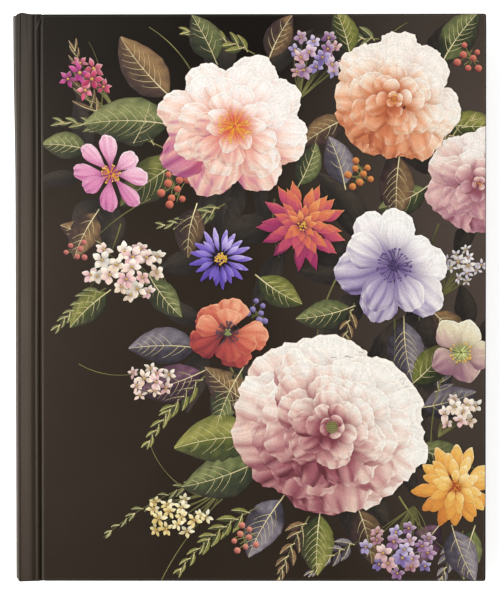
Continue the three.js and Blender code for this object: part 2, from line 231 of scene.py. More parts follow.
def satin_film(name, dark, light):
    """Printed paper under satin film: mottled ink, a brown glow at the fore edge, painted shade towards the
    head, a painted highlight inside the edges, painted shade on the dulled rolled edges, and wear beneath.
    """
    material, shader = new_material(name)
    place = spot(material)
    cloud, fibre = noise(material, place, 22, 4, 0.6), noise(material, place, 900, 3, 0.7)
    speck = spread(material, fibre, MIDDLE, (0.9, 1.1))
    mottled = scaled(material, stirred(material, cloud, dark, light), speck)
    # Painted shade: the ink darkens towards the head, where the film shows less reflection.
    head_shade = spread(material, part_of(material, place, "Y"), (0.02, 0.1), (1.0, 0.1))
    drawn = combined(material, "MULTIPLY", place, GLOW_SPREAD)
    away = combined(material, "DISTANCE", drawn, GLOW_AT, "Value")
    glow = spread(material, away, (0.0, GLOW_REACH), (1.0, 0.0))
    toned = stirred(material, glow, scaled(material, mottled, head_shade), scaled(material, GLOW_INK, speck))
    # Edge values: above zero they lighten the colour, a painted highlight near the face's edge and wear under
    # the board; below zero they darken it with painted shade over the roll and dull the film.
    edge_wear_and_painted_light = node(material, "ShaderNodeAttribute", attribute_name="edge_wear_and_painted_light").outputs["Fac"]
    shown = stirred(material, reckon(material, "MULTIPLY", edge_wear_and_painted_light, fibre), toned, WEAR_AND_HIGHLIGHT_INK)
    edge_shade = spread(material, edge_wear_and_painted_light, (-1.0, 0.0), (EDGE_SHADE_TONE, 1.0))
    dulled = spread(material, edge_wear_and_painted_light, (-1.0, 0.0), (STRETCHED_ROUGHNESS, 0.0))
    gloss = spread(material, cloud, MIDDLE, (0.28, 0.34))
    return dress(
        material, shader, scaled(material, shown, edge_shade), reckon(material, "MAXIMUM", gloss, dulled),
        noise(material, place, 3200, 2), 0.1, 0.00003,
        Specular_IOR_Level=0.36, Specular_Tint=(1.0, 0.9, 0.8, 1),
    )


HEAD, FORE, BOARD_EDGE, SPINE_FACE = 114.3, 95.0, -84.0, -94.75
cover_film = satin_film("cover_film", (0.0180, 0.0122, 0.0080, 1), (0.0240, 0.0166, 0.0112, 1))

PAPER, COVER_THICK, TURN_IN = 0.3, 2.9, 15.0
EDGE_ROLL, BOARD_CORNER, SHARPEST_CORNER = 0.6, 1.0, 0.06
LONG_EDGE_STEPS = (0.0, 0.1, 0.22, 0.36, 0.52, 0.7, 1.1, 1.6)
LONG_EDGE_DROP, LONG_EDGE_FLAT, CORNER_NIP = 0.2, 0.7, 0.35
# How the colour changes from the face over the edge and under the board: above zero it is lighter, a
# painted highlight on the face near the edge and wear underneath; below zero the dulled roll is darkened
# with painted shade.
EDGE_WEAR_AND_PAINTED_LIGHT = (0.0, 0.08, 0.16, 0.1, -0.6, -1.0, -1.0, -1.0, -0.8, -0.3, 0.1, 0.3, 0.2)


def walls(rings, count, closed=True, base=0):
    """Faces from each ring of points to the next."""
    return [
        (base + k * count + j, base + k * count + (j + 1) % count,
         base + (k + 1) * count + (j + 1) % count, base + (k + 1) * count + j)
        for k in range(rings - 1) for j in range(count if closed else count - 1)
    ]


def lids(rings, count, base=0):
    """One face over the first ring and one over the last."""
    last = base + (rings - 1) * count
    return [tuple(range(base, base + count)), tuple(range(last, last + count))]


def turned_over(thick, roll):
    """Steps in from the edge and down from the face: over the edge, under the board and back inside."""
    steps = [(roll + 0.5, 0.0), (roll + 0.36, 0.003), (roll + 0.2, 0.008), (roll + 0.04, 0.004)]
    steps += [
        (roll * (1 - math.sin(a)), roll * (1 - math.cos(a)))
        for a in (math.radians(15 * step) for step in range(1, 7))
    ]
    low = thick - min(PAPER, thick / 3)
    wall = min(PAPER + 0.3, thick / 2)
    return steps + [
        (0.0, (roll + low) / 2), (0.0, low), (0.09, thick - 0.09), (PAPER, thick), (TURN_IN, thick),
        (TURN_IN + 0.02, thick - PAPER + 0.04), (PAPER + 0.04, thick - PAPER + 0.02),
        (PAPER, wall), (PAPER + 0.3, PAPER),
    ]


def cover_ring(inset, drop):
    """One line round the three free edges of a cover, and its drop where the paper rolls into the joint."""
    high, right = HEAD - inset, FORE - inset
    radius = max(BOARD_CORNER - inset, SHARPEST_CORNER)
    nip = [CORNER_NIP * (1 - step / LONG_EDGE_STEPS[-1]) ** 2 for step in LONG_EDGE_STEPS]
    ring = [(BOARD_EDGE + step, near - high) for step, near in zip(LONG_EDGE_STEPS, nip)]
    for turn, (cx, cy) in enumerate([(right - radius, radius - high), (right - radius, high - radius)]):
        ring += [
            (cx + radius * math.cos(a), cy + radius * math.sin(a))
            for a in (math.radians(-90 + 90 * turn + 15 * step) for step in range(7))
        ]
    ring += [(BOARD_EDGE + step, high - near / 2) for step, near in zip(LONG_EDGE_STEPS[::-1], nip[::-1])]
    face = max(0.0, 1 - drop / 0.9) if drop < 1 else 0.0
    roll = [LONG_EDGE_DROP * max(0.0, 1 - (x - BOARD_EDGE) / LONG_EDGE_FLAT) ** 2 for x, _ in ring]
    return [(x, y, TOP - drop - face * r) for (x, y), r in zip(ring, roll)]


for name, body, node_name, turned in (
    ("front_cover_paper", "front_cover", "front_cover_wrap", 1),
    ("back_cover_paper", "back_cover", "back_cover_wrap", -1),
):
    rings = [cover_ring(inset, drop) for inset, drop in turned_over(COVER_THICK, EDGE_ROLL)]
    count, edge = len(rings[0]), len(LONG_EDGE_STEPS) - 1
    points = [p for ring in rings for p in ring]
    faces = walls(len(rings), count, closed=False)
    for first in (0, (len(rings) - 1) * count):
        far = first + count - 1
        faces += [(first + j, first + j + 1, far - 1 - j, far - j) for j in range(edge)]
        faces.append(tuple(range(first + edge, first + count - edge)))
    starts = [k * count for k in range(len(rings))]
    faces.append(tuple(starts + [s + count - 1 for s in reversed(starts)]))
    if turned < 0:
        points = [(x, y, TOP - z) for x, y, z in points]
    piece = solid_piece(name, points, faces, cover_film)
    # For each ring of the paper: a painted highlight near the face's edge, painted shade over the roll, and
    # wear under the board.
    edge_light_and_wear_values = list(EDGE_WEAR_AND_PAINTED_LIGHT) + [0.0] * (len(rings) - len(EDGE_WEAR_AND_PAINTED_LIGHT))
    edge_wear_and_painted_light = piece.data.attributes.new("edge_wear_and_painted_light", "FLOAT", "POINT")
    edge_wear_and_painted_light.data.foreach_set("value", [value for value in edge_light_and_wear_values for _ in range(count)])
    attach(piece, body)
    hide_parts(node_name)


# Spine and joints: the same sheet runs on over the spine board and down into a groove beside each board,
# where it was pressed with a hot iron. It is folded in at head and tail. The joint papers are made as they
# lie closed and are not bent when the journal opens.
CORNER_ROLL, CORNER_DROP = 1.6, 0.5
FLAT_TOP = TOP - 2.4
# Each pair is a distance from the spine and the paper's depth there.
BAND_SHAPE = [
    (CORNER_ROLL, CORNER_DROP), (1.85, 0.518), (2.1, 0.51), (2.6, 0.465), (4.0, 0.31), (5.2, 0.17),
    (6.3, 0.09), (6.9, 0.09), (7.5, 0.12), (7.95, 0.15), (8.2, 0.145), (8.65, 0.07), (9.0, 0.05),
]
GROOVE_SHAPE = [
    (9.0, 0.05), (9.35, 0.13), (9.6, 0.32), (9.85, 0.58), (10.08, 0.74), (10.25, 0.77), (10.45, 0.62),
    (10.6, 0.43), (10.69, 0.31), (10.75, LONG_EDGE_DROP),
]
JOINT_STEP, SLANT = 0.09, 0.6
SPINE_FOLD, CORNER_FOLD, FOLD_LOSS, JOINT_FOLD = 1.6, 1.36, 0.5, 0.58
SNUG_AT_HEAD = (
    (-6, -2, 0, 0.8, 1.7, 3.0, 4.6, 6.2, 10.4, 11), (0, -0.4, -1.2, 0.2, 0.7, 0.75, 0.4, 0.1, 0.1, 0),
)
SNUG_AT_TAIL = (
    (-5, -1.5, 0, 0.4, 0.9, 1.5, 3, 6, 10.2, 11), (0, -0.9, -2.0, -1.0, 0.1, 0.4, 0.3, 0.15, 0.05, -0.15),
)
LONG_STEPS = [
    100.0, 80.0, 62.0, 46.0, 34.0, 25.0, 19.0, 15.5, 12.5, 10.0, 8.0, 6.6, 5.7, 5.1, 4.6, 4.1, 3.6, 3.1,
    2.7, 2.2, 1.8,
]


def smoothed(values, size, times):
    for _ in range(times):
        values = np.convolve(np.pad(values, size // 2, "edge"), np.ones(size) / size, "valid")
    return values


def joint_columns():
    """The paper's line over the spine corner and joint: place, outward direction, depth of its fold."""
    corner = TOP - CORNER_DROP - CORNER_ROLL
    columns = [(SPINE_FACE, z, -1.0, 0.0, SPINE_FOLD, z - TOP) for z in np.linspace(FLAT_TOP, corner, 4)]
    for degrees in range(9, 90, 9):
        a = math.radians(degrees)
        out = (-math.cos(a), math.sin(a))
        columns.append((
            SPINE_FACE + CORNER_ROLL + CORNER_ROLL * out[0], corner + CORNER_ROLL * out[1], out[0], out[1],
            CORNER_FOLD - FOLD_LOSS * degrees / 90, CORNER_ROLL * (1 - math.cos(a)),
        ))
    knots = np.array(BAND_SHAPE + GROOVE_SHAPE[1:])
    fine = np.arange(knots[0, 0], knots[-1, 0], 0.01)
    drop = smoothed(np.interp(fine, knots[:, 0], knots[:, 1]), 13, 3)
    length = np.concatenate([[0], np.cumsum(np.hypot(np.diff(fine), np.diff(drop)))])
    even = np.linspace(0, length[-1], int(length[-1] / JOINT_STEP))
    across, down = np.interp(even, length, fine), np.interp(even, length, drop)
    slope = np.stack([smoothed(np.gradient(part), 7, 2) for part in (down, across)], 1)
    slope /= np.linalg.norm(slope, axis=1)[:, None]
    return columns + [
        (SPINE_FACE + s, TOP - d, nx, nz, JOINT_FOLD, s) for s, d, (nx, nz) in zip(across, down, slope)
    ]


def head_swell(across, y):
    """At the head the folded paper pushes the spine out a little."""
    outward = np.interp(across, [0, CORNER_ROLL], [1, 0])
    inward = np.interp(across, [0, CORNER_ROLL, 4.5], [0, 1, 0])
    outward = outward * np.interp(y, [45, 60, 89, 112], [0, 0.1, 0.6, 0.75])
    return outward - inward * np.interp(y, [-40, 45, 89, 112], [0, 0.3, 0.5, 0.8])


def head_slant(across, y):
    """Towards the head the paper was pressed a little further from the spine, so the groove runs aslant."""
    share = np.interp(across, [3.5, 6.5, 9.8, 10.6], [0, 1, 1, 0])
    return SLANT * share * np.interp(y, [-20, 45, 112], [0, 0.75, 1])


def groove_depth(across, y):
    """How much the groove is flatter at the head, where the iron was lifted, and deeper towards the tail."""
    drop = np.interp(across, *np.transpose(GROOVE_SHAPE)) - GROOVE_SHAPE[0][1]
    share = np.interp(across, [9.0, 9.2, 10.5, 10.75], [0, 1, 1, 0])
    height = np.interp(y, [-114, -60, 0, 45, 70, 90, 114], [0.4, 0.3, 0, 0, -0.35, -0.82, -0.93])
    return share * drop * height


CREASE_AT, CREASE_SLANT, CREASE_SCALE = (9.0, 109.8), 0.53, 0.88
RIDGE_HEIGHT, RIDGE_WIDTH = 0.36, 0.24
VALLEY_DEPTH, VALLEY_WIDTH, VALLEY_AWAY = 0.34, 0.26, 0.5
CREASE_AT_BACK = 0.25


def fold_crease(across, y, turned):
    """A raised line with a valley beside it, aslant at the head of the groove, and flatter at the back."""
    off = ((across - CREASE_AT[0]) - CREASE_SLANT * (y - CREASE_AT[1])) * CREASE_SCALE
    ridge = RIDGE_HEIGHT * math.exp(-(off / RIDGE_WIDTH) ** 2)
    shape = ridge - VALLEY_DEPTH * math.exp(-((off - VALLEY_AWAY) / VALLEY_WIDTH) ** 2)
    reach = np.interp(y, [109.0, 110.2, 113.2, 113.9], [0, 1, 1, 0])
    return shape * reach * (1.0 if turned > 0 else CREASE_AT_BACK)


HOLLOW_AT, HOLLOW_DEPTH = 4.5, 0.07
SWELL_AT, SWELL_HEIGHT, SWELL_WIDTH = 8.15, 0.085, 0.45


def head_hollow(across, y):
    """A shallow hollow at the head of the joint's smooth band, drawn in with the paper, and a soft ridge."""
    off = across - HOLLOW_AT
    swell = SWELL_HEIGHT * math.exp(-((across - SWELL_AT) / SWELL_WIDTH) ** 2)
    ease = swell * np.interp(y, [60, 100], [0, 1])
    return ease - HOLLOW_DEPTH * off * math.exp(-off * off) * np.interp(y, [97, 108], [0, 1])


def folded_sheet(name, columns, turned):
    """A closed sheet: each column is one loop along the book, over the head, inside and over the tail."""
    loops = []
    for x, z, nx, nz, depth, across in columns:
        over = turned_over(depth, min(EDGE_ROLL, 0.48 * depth))
        outside, inside = ([(far, height) for far in LONG_STEPS] for height in (0.0, PAPER))
        half_loop = outside + over + inside[::-1]
        for head, snug in ((1, SNUG_AT_HEAD), (-1, SNUG_AT_TAIL)):
            reach = HEAD + np.interp(across, *snug)
            for inset, drop in half_loop[::head]:
                y = head * (reach - inset)
                lift = fold_crease(across, y, turned) + head_hollow(across, y) - groove_depth(across, y)
                aside = head_slant(across, y) - head_swell(across, y)
                loops.append((x - nx * drop + aside, y, z - nz * drop + lift))
    size = len(loops) // len(columns)
    faces = walls(len(columns), size) + lids(len(columns), size)
    if turned < 0:
        loops = [(x, y, TOP - z) for x, y, z in loops]
    return solid_piece(name, loops, faces, cover_film, 60)


BEND_AT_SPINE, BEND_AT_BOARD = (-0.09465, 0, 0), (-0.0932, 0, 0)
for name, node_name, turned, bodies, ends in (
    ("front_joint_paper", "front_joint_strip", 1, ("spine", "front_cover"), (BEND_AT_SPINE, BEND_AT_BOARD)),
    ("back_joint_paper", "back_joint_strip", -1, ("back_cover", "spine"), (BEND_AT_BOARD, BEND_AT_SPINE)),
):
    joint_paper = folded_sheet(name, joint_columns(), turned)
    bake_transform(joint_paper)
    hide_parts(node_name)

spine_heights = np.linspace(TOP - FLAT_TOP, FLAT_TOP, 15)
spine_columns = [(SPINE_FACE, z, -1.0, 0.0, SPINE_FOLD, max(z, TOP - z) - TOP) for z in spine_heights]
spine_paper = folded_sheet("spine_paper", spine_columns, 1)
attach(spine_paper, "spine")
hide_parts("spine_wrap")


# Boards: grey pulp board, one for each cover and a narrow one for the spine, cut square and glued to the
# cover paper. The spine board's corners are snipped, so that the paper folds snugly.
def pulp_board(name, dark, light):
    material, shader = new_material(name)
    flecks = noise(material, spot(material), 1100, 5, 0.75)
    return dress(material, shader, stirred(material, flecks, dark, light), 0.95, flecks, 0.4, 0.00008)


def give(material, *names):
    """Puts a material on parts that keep the shape they were built with."""
    for name in names:
        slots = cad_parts[name].data.materials
        slots.clear()
        slots.append(material)


greyboard = pulp_board("greyboard", (0.27, 0.25, 0.225, 1), (0.40, 0.38, 0.34, 1))
give(greyboard, "front_board", "back_board")

SPINE_BOARD, BOARD_REACH, BOARD_INSET = (-94.4, -93.4), 113.7, 1.5
SNIP_IN, SNIP_ALONG = 3.4, 2.3
low, high = BOARD_INSET, TOP - BOARD_INSET
outline = [
    (low, BOARD_REACH - SNIP_ALONG), (low + SNIP_IN, BOARD_REACH),
    (high - SNIP_IN, BOARD_REACH), (high, BOARD_REACH - SNIP_ALONG),
]
outline += [(z, -y) for z, y in reversed(outline)]
board_points = [(x, y, z) for x in SPINE_BOARD for z, y in outline]
board_faces = lids(2, len(outline)) + walls(2, len(outline))
snipped_board = solid_piece("spine_stiffener", board_points, board_faces, greyboard)
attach(snipped_board, "spine")
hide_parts("spine_board")


# Endpapers: strong uncoated paper, off white. One leaf is pasted down on the board over the turn-ins,
# and the other is the loose flyleaf, tipped to the first section.
def laid_paper(name, dark, light, scale=700):
    material, shader = new_material(name)
    place = spot(material)
    clouds, tooth = noise(material, place, 60, 5, 0.65), noise(material, place, scale, 4, 0.7)
    pulp = stirred(material, clouds, dark, light)
    return dress(material, shader, pulp, 0.85, tooth, 0.25, 0.00003, Specular_IOR_Level=0.3)


endpaper = laid_paper("endpaper", (0.74, 0.70, 0.61, 1), (0.82, 0.79, 0.71, 1))
give(endpaper, "front_pastedown", "back_pastedown", "front_flyleaf", "back_flyleaf")


# Text block: twelve sections of writing paper, folded and sewn, each leaf 0.1 mm thick and lightly ruled
# on both sides. The cut edges show each leaf as a fine line.
SECTIONS = 12
RULE_PITCH, RULE_WIDTH, RULE_HEAD, RULE_TAIL = 7.1, 0.16, 98.0, -104.0
RULE_INK = (0.42, 0.43, 0.44, 1)
FLAT_FACE = 0.9


def ruled_paper(name):
    material = laid_paper(name, (0.77, 0.735, 0.65, 1), (0.835, 0.81, 0.735, 1))
    shader = material.node_tree.nodes["Principled BSDF"]
    pulp = shader.inputs["Base Color"].links[0].from_socket
    height = part_of(material, spot(material), "Y")
    faced = part_of(material, node(material, "ShaderNodeTexCoord").outputs["Normal"], "Z")
    from_line = reckon(material, "PINGPONG", height, RULE_PITCH * MM)
    ruled = reckon(material, "LESS_THAN", from_line, RULE_WIDTH / 2 * MM)
    for limit in (
        reckon(material, "LESS_THAN", height, RULE_HEAD * MM),
        reckon(material, "GREATER_THAN", height, RULE_TAIL * MM),
        reckon(material, "GREATER_THAN", reckon(material, "ABSOLUTE", faced), FLAT_FACE),
    ):
        ruled = reckon(material, "MULTIPLY", ruled, limit)
    feed(material, shader.inputs["Base Color"], stirred(material, ruled, pulp, RULE_INK))
    return material


give(ruled_paper("writing_paper"), *(f"section_{number:02d}" for number in range(1, SECTIONS + 1)))


# Sewing thread: waxed linen, two plies twisted. It runs inside the fold of each section, out over the back
# at each stitch and in again, and is knotted to the next section at head and tail.
def waves(material, way, scale, distortion, detail=2.0):
    return node(material, "ShaderNodeTexWave", {
        "Vector": spot(material), "Scale": scale, "Distortion": distortion, "Detail": detail,
    }, wave_type="BANDS", bands_direction=way).outputs["Fac"]


def waxed_linen(name):
    material, shader = new_material(name)
    twist = waves(material, "DIAGONAL", 1500, 2.0)
    yarn = stirred(material, twist, (0.56, 0.50, 0.38, 1), (0.80, 0.75, 0.63, 1))
    return dress(material, shader, yarn, 0.7, twist, 0.6, 0.00005)


give(waxed_linen("waxed_linen"), *(f"thread_{number:02d}" for number in range(1, SECTIONS + 1)))


# Cover picture: flowers printed in many flat inks and pressed up a little, so that each petal can be felt.
# Every petal is a low relief of its own. The light in the picture falls from the upper right.
INK_LINE, LIP_TONE, INK_FOOT = 0.03, 0.42, TOP - 0.02
PICTURE_LIGHT = np.array([0.55, 0.83])
CUT_RIGHT, CUT_LEFT, CUT_HIGH = 94.74, -83.2, 114.04
TURN = 2 * math.pi
shadows = []


def ink(code):
    """An ink from its hexadecimal screen colour, as a linear colour."""
    value = np.array([int(code[i:i + 2], 16) / 255 for i in (0, 2, 4)])
    return np.where(value <= 0.04045, value / 12.92, ((value + 0.055) / 1.055) ** 2.4)


def eased(share):
    return share * share * (3 - 2 * share)


def ramp(inks, tone):
    """The mixture of a row of inks, dark to light, at a tone from 0 to 1."""
    steps = np.array([ink(code) for code in inks.split()])
    place = np.clip(tone, 0, 1) * (len(steps) - 1)
    low = np.minimum(place.astype(int), len(steps) - 2)
    share = eased((place - low)[..., None])
    return steps[low] * (1 - share) + steps[low + 1] * share


def mixed(a, b, share):
    return a + (b - a) * np.clip(share, 0, 1)[..., None]


def sunlit(x, y):
    """How far a place lies towards the light of the picture."""
    return x * PICTURE_LIGHT[0] + y * PICTURE_LIGHT[1]


def around(centre, radius, a):
    return centre[0] + radius * math.cos(a), centre[1] + radius * math.sin(a)


def start_print():
    return {"points": [], "paint": [], "brush": [], "faces": [], "count": 0}


def lay(sheet, points, paint, brush, faces):
    """Adds one relief with its colours and brush directions to a print."""
    first = sheet["count"]
    for key, rows in (("points", points), ("paint", paint), ("brush", brush)):
        sheet[key].append(rows)
    sheet["faces"] += [tuple(first + i for i in face) for face in faces]
    sheet["count"] += len(points)


def raised_grid(sheet, x, y, z, paint, u, v, seed, lip=0.02):
    """A relief from a grid of points: a dark lip round it, a rim down into the paper, a closed underside."""
    rows, cols = x.shape
    index = np.arange(rows * cols).reshape(rows, cols)
    faces = walls(rows, cols, closed=False)
    rim = list(index[0, :]) + list(index[1:, -1]) + list(index[-1, -2::-1]) + list(index[-2:0:-1, 0])
    points = np.stack([x, y, z], -1).reshape(-1, 3)
    out = points[rim, :2] - points.mean(0)[:2]
    out /= np.maximum(np.linalg.norm(out, axis=1), 1e-6)[:, None]
    outline, foot = points[rim].copy(), points[rim].copy()
    outline[:, :2] += lip * out
    outline[:, 2] -= 0.003
    foot[:, :2] += (lip + INK_LINE) * out
    foot[:, 2] = INK_FOOT
    first, size = rows * cols, len(rim)
    after = [(k + 1) % size for k in range(size)]
    faces += [(rim[k], first + k, first + after[k], rim[after[k]]) for k in range(size)]
    faces += [(first + k, first + size + k, first + size + after[k], first + after[k]) for k in range(size)]
    faces.append(tuple(range(first + size, first + 2 * size)))
    colours = paint.reshape(-1, 3)
    brush = np.stack([u, v, np.full_like(u, seed)], -1).reshape(-1, 3)
    lay(
        sheet, np.concatenate([points, outline, foot]),
        np.concatenate([colours, colours[rim] * LIP_TONE, colours[rim] * LIP_TONE]),
        np.concatenate([brush, brush[rim], brush[rim]]), faces,
    )


def waver(t, phase, quick=1.0):
    """A smooth wandering value between about -1 and 1."""
    return (
        0.5 * np.sin(quick * 5.1 * t + phase) + 0.32 * np.sin(quick * 11.3 * t + 2.3 * phase)
        + 0.18 * np.sin(quick * 23.7 * t + 4.1 * phase)
    )


SHADOW_GAP, SHADOW_REACH, SHADOW_SOFTNESS = 0.02, 1.5, 1.7


def in_shadow(x, y, level):
    """How dark the flowers that lie above this level make the picture beneath and beside them."""
    dark = np.zeros_like(x)
    for cx, cy, radius, above in shadows:
        if above > level + SHADOW_GAP:
            away = np.hypot(x - cx, y - cy) - radius
            dark = np.maximum(dark, 1 / (1 + np.exp((away - SHADOW_REACH) / SHADOW_SOFTNESS)))
    return dark


# Width at the root, where the petal is widest, and how pointed it is.
PETAL_SHAPES = {
    "round": (0.42, 0.1, 0.0), "broad": (0.26, 0.35, 0.0), "fan": (0.12, 0.75, 0.0), "cup": (0.8, -0.4, 0.0),
    "oval": (0.4, 0.0, 0.45), "point": (0.3, -0.1, 1.0), "strap": (0.45, 0.3, 0.4), "heart": (0.2, 0.6, 0.0),
}
PLAIN_PETAL = {
    "shape": "broad", "frill": 0.04, "notch": 0.0, "tone": 0.5, "lit": 0.34, "rise": 0.22, "folds": 0.1,
    "vary": 0.11, "root": 0.75, "deep": 0.24, "throat_size": 0.34,
}
SIDE_TONE, RIM_SHARE, THROAT_SHARE, SHADOW_DEPTH = 0.1, 0.75, 0.85, 0.62
LIP_SHADE, FAR_SHADE, GRID_PITCH = 0.1, 0.16, 1.3
PETAL_LIFT, PETAL_BOW, PETAL_FOLD = 0.012, 0.008, 0.002


def petal(sheet, root, heading, length, width, level, inks, look):
    """One painted petal. look has its shape, frill, tone, folds, notch, root ink, rim ink and squash."""
    look = {**PLAIN_PETAL, **look}
    rng = look["rng"]
    root_share, full_at, sharp = PETAL_SHAPES[look["shape"]]
    count = int(np.clip(max(length, width) / GRID_PITCH, 5, 15)) | 1
    even = np.linspace(-1, 1, count)
    even = np.sign(even) * np.abs(even) ** 0.8
    if count > 7:
        even = np.concatenate([[-1, -0.955], even[1:-1], [0.955, 1]])
    u, w = np.meshgrid(even, even)
    u, w = u * np.sqrt(1 - w * w / 2), w * np.sqrt(1 - u * u / 2)
    ring = np.hypot(u, w)
    phase, seed = rng.uniform(0, 6.28), rng.uniform(0, 1)
    tipward = np.clip((w + 0.6) / 1.2, 0, 1)
    swell = 1 + look["frill"] * waver(np.arctan2(u, w), phase, 1.2) * ring ** 3 * tipward
    swell = swell - look["notch"] * np.exp(-(u / 0.3) ** 2) * np.clip(w, 0, 1) ** 3
    v = 0.5 + 0.5 * w * np.where(w > 0, swell, 1)
    taper = root_share + (1 - root_share) * eased(np.clip((w + 1) / (1 + full_at), 0, 1))
    across = 0.5 * width * u * swell * taper * (1 - sharp * np.clip(w, 0, 1) ** 1.6)
    along = length * v
    turn = np.array([math.cos(heading), math.sin(heading)])
    x = root[0] + along * turn[0] - across * turn[1]
    y = root[1] + along * turn[1] + across * turn[0]
    cx, cy, radius = look["centre"]
    if "squash" in look:
        axis, keep = look["squash"]
        a = np.array([math.cos(axis), math.sin(axis)])
        off = ((x - cx) * a[0] + (y - cy) * a[1]) * (1 - keep)
        x, y = x - off * a[0], y - off * a[1]
    fold = waver(u * 1.5 + 0.2 * v, phase, 1.3)
    bow = np.clip(1 - ring ** 2, 0, 1)
    z = TOP + level + PETAL_LIFT + PETAL_BOW * bow * min(1.0, length / 8) + PETAL_FOLD * fold * v * bow
    tone = look["tone"] + 0.07 + look["lit"] * (sunlit(x - cx, y - cy) / radius) + look["rise"] * (v - 0.55)
    tone = tone + look["folds"] * fold * (0.3 + 0.7 * v) + rng.uniform(-1, 1) * look["vary"]
    tone = tone + SIDE_TONE * u * (PICTURE_LIGHT @ np.array([-turn[1], turn[0]]))
    paint = mixed(ramp(inks, tone), ink(look["root_ink"]), look["root"] * np.exp(-(v / look["deep"]) ** 2))
    sunward = sunlit(x - x.mean(), y - y.mean()) / (0.5 * max(length, width))
    paint = paint * (1 - LIP_SHADE * np.exp(-((ring - 0.86) / 0.09) ** 2) * tipward)[..., None]
    paint = paint * (1 - FAR_SHADE * np.clip(-sunward, 0, 1) * ring ** 2)[..., None]
    caught = np.clip(0.2 + 0.8 * sunward + 0.4 * waver(u + v, phase, 2), 0, 1)
    rim = np.clip((ring - 0.91) / 0.05, 0, 1) * tipward * caught
    paint = mixed(paint, ink(look["rim_ink"]), RIM_SHARE * rim)
    if "throat" in look:
        inward = np.clip(1 - np.hypot(x - cx, y - cy) / (look["throat_size"] * radius), 0, 1)
        paint = mixed(paint, ink(look["throat"]), THROAT_SHARE * inward)
    paint = paint * (1 - SHADOW_DEPTH * in_shadow(x, y, look["base"])[..., None])
    raised_grid(sheet, x, y, z, paint, u, v, seed, min(0.11, 0.012 * length))


def row(count, start, reach, width, lift=0.0, shape="broad", **look):
    """A row of petals: how many, root and length as shares of the bloom's radius, width and lift."""
    return count, start, reach, width, lift, {"shape": shape, **look}


def bloom(sheet, centre, radius, level, inks, rows, seed, cover=0.86, **look):
    """Rows of petals from the outside in. Each row can change the look of the bloom."""
    rng = look["rng"] = np.random.default_rng(seed)
    look["centre"], look["base"] = (*centre, radius), level
    shadows.append((*centre, radius * cover, level))
    dot(sheet, *centre, 0.2 * radius, level - 0.05, look["root_ink"], look["root_ink"], 12)
    for count, start, reach, width, lift, changes in rows:
        first = rng.uniform(0, 6.28)
        for k in rng.permutation(count):
            heading = first + TURN * (k + rng.uniform(-0.24, 0.24)) / count
            root = around(centre, start * radius, heading)
            size = radius * reach * rng.uniform(0.88, 1.1)
            step = lift + 0.006 * (k % 2) + 0.002 * rng.uniform(0, 1)
            heading = heading + rng.uniform(-0.09, 0.09)
            breadth = radius * width * rng.uniform(0.94, 1.06)
            petal(sheet, root, heading, size, breadth, level + step, inks, {**look, **changes})


def dot(sheet, x, y, radius, level, dark, light, sides=6):
    """A small round bead of ink, such as a berry or the head of a stamen."""
    angles = np.linspace(0, TURN, sides, endpoint=False)
    rings = np.array([0.0, 0.5, 0.85, 1.0])
    gx = x + radius * np.outer(rings, np.cos(angles))
    gy = y + radius * np.outer(rings, np.sin(angles))
    gz = TOP + level + np.repeat(0.5 * min(radius, 0.1) * np.sqrt(1 - 0.9 * rings ** 2)[:, None], sides, 1)
    lit = 0.5 + 0.5 * sunlit(gx - x, gy - y) / radius
    paint = mixed(np.broadcast_to(ink(dark), (*gx.shape, 3)), ink(light), lit)
    points = np.concatenate([[[x, y, gz[0, 0]]], np.stack([gx, gy, gz], -1)[1:].reshape(-1, 3)])
    foot_x, foot_y = gx[-1] + 0.02 * np.cos(angles), gy[-1] + 0.02 * np.sin(angles)
    foot = np.stack([foot_x, foot_y, np.full(sides, INK_FOOT)], -1)
    colours = np.concatenate([[paint[0].mean(0)], paint[1:].reshape(-1, 3), paint[-1] * 0.4])
    faces = [(0, 1 + j, 1 + (j + 1) % sides) for j in range(sides)]
    for a in (1, 1 + sides, 1 + 2 * sides):
        b = a + sides
        faces += [(a + j, b + j, b + (j + 1) % sides, a + (j + 1) % sides) for j in range(sides)]
    count = 1 + 4 * sides
    faces.append(tuple(range(count - sides, count)))
    lay(sheet, np.concatenate([points, foot]), colours, np.full((count, 3), 0.5), faces)


def button(sheet, centre, radius, count, bead, level, inks, rng):
    """A heap of beads at the heart of a bloom."""
    for _ in range(count):
        a, r = rng.uniform(0, 6.28), radius * math.sqrt(rng.uniform(0, 1))
        dot(sheet, *around(centre, r, a), bead, level, *inks)


def stroke(sheet, path, widths, level, inks, tone=0.5):
    """A raised brush line along a path, thin at its ends: a stem, a vein or a stamen."""
    path = np.asarray(path, float)
    ahead = np.gradient(path, axis=0)
    ahead /= np.maximum(np.linalg.norm(ahead, axis=1), 1e-9)[:, None]
    side = np.stack([-ahead[:, 1], ahead[:, 0]], 1)
    widths = np.broadcast_to(widths, len(path))[:, None]
    across = np.array([-1, 0, 1])
    gx, gy = (path[:, i:i + 1] + side[:, i:i + 1] * across * widths / 2 for i in (0, 1))
    gz = TOP + level + np.array([0, 0.03, 0]) + 0 * gx
    share = np.linspace(0, 1, len(path))[:, None] + 0 * gx
    lit = tone + 0.3 * across * (side @ PICTURE_LIGHT)[:, None] + 0.12 * waver(share, len(path) + path[0, 0])
    paint = ramp(inks, lit) * (1 - 0.7 * in_shadow(gx, gy, level)[..., None])
    raised_grid(sheet, gx, gy, gz, paint, across + 0 * gx, share, 0.5)


def arc_path(start, heading, length, bend, steps=8):
    """Points of a line that sets out at a heading and turns evenly by bend in all."""
    turn, step = heading + bend * np.linspace(0, 1, steps), length / (steps - 1)
    middle, ways = turn[:-1] + bend / steps / 2, (np.cos, np.sin)
    x, y = (start[i] + np.concatenate([[0], np.cumsum(ways[i](middle) * step)]) for i in (0, 1))
    return np.stack([x, y], 1), turn


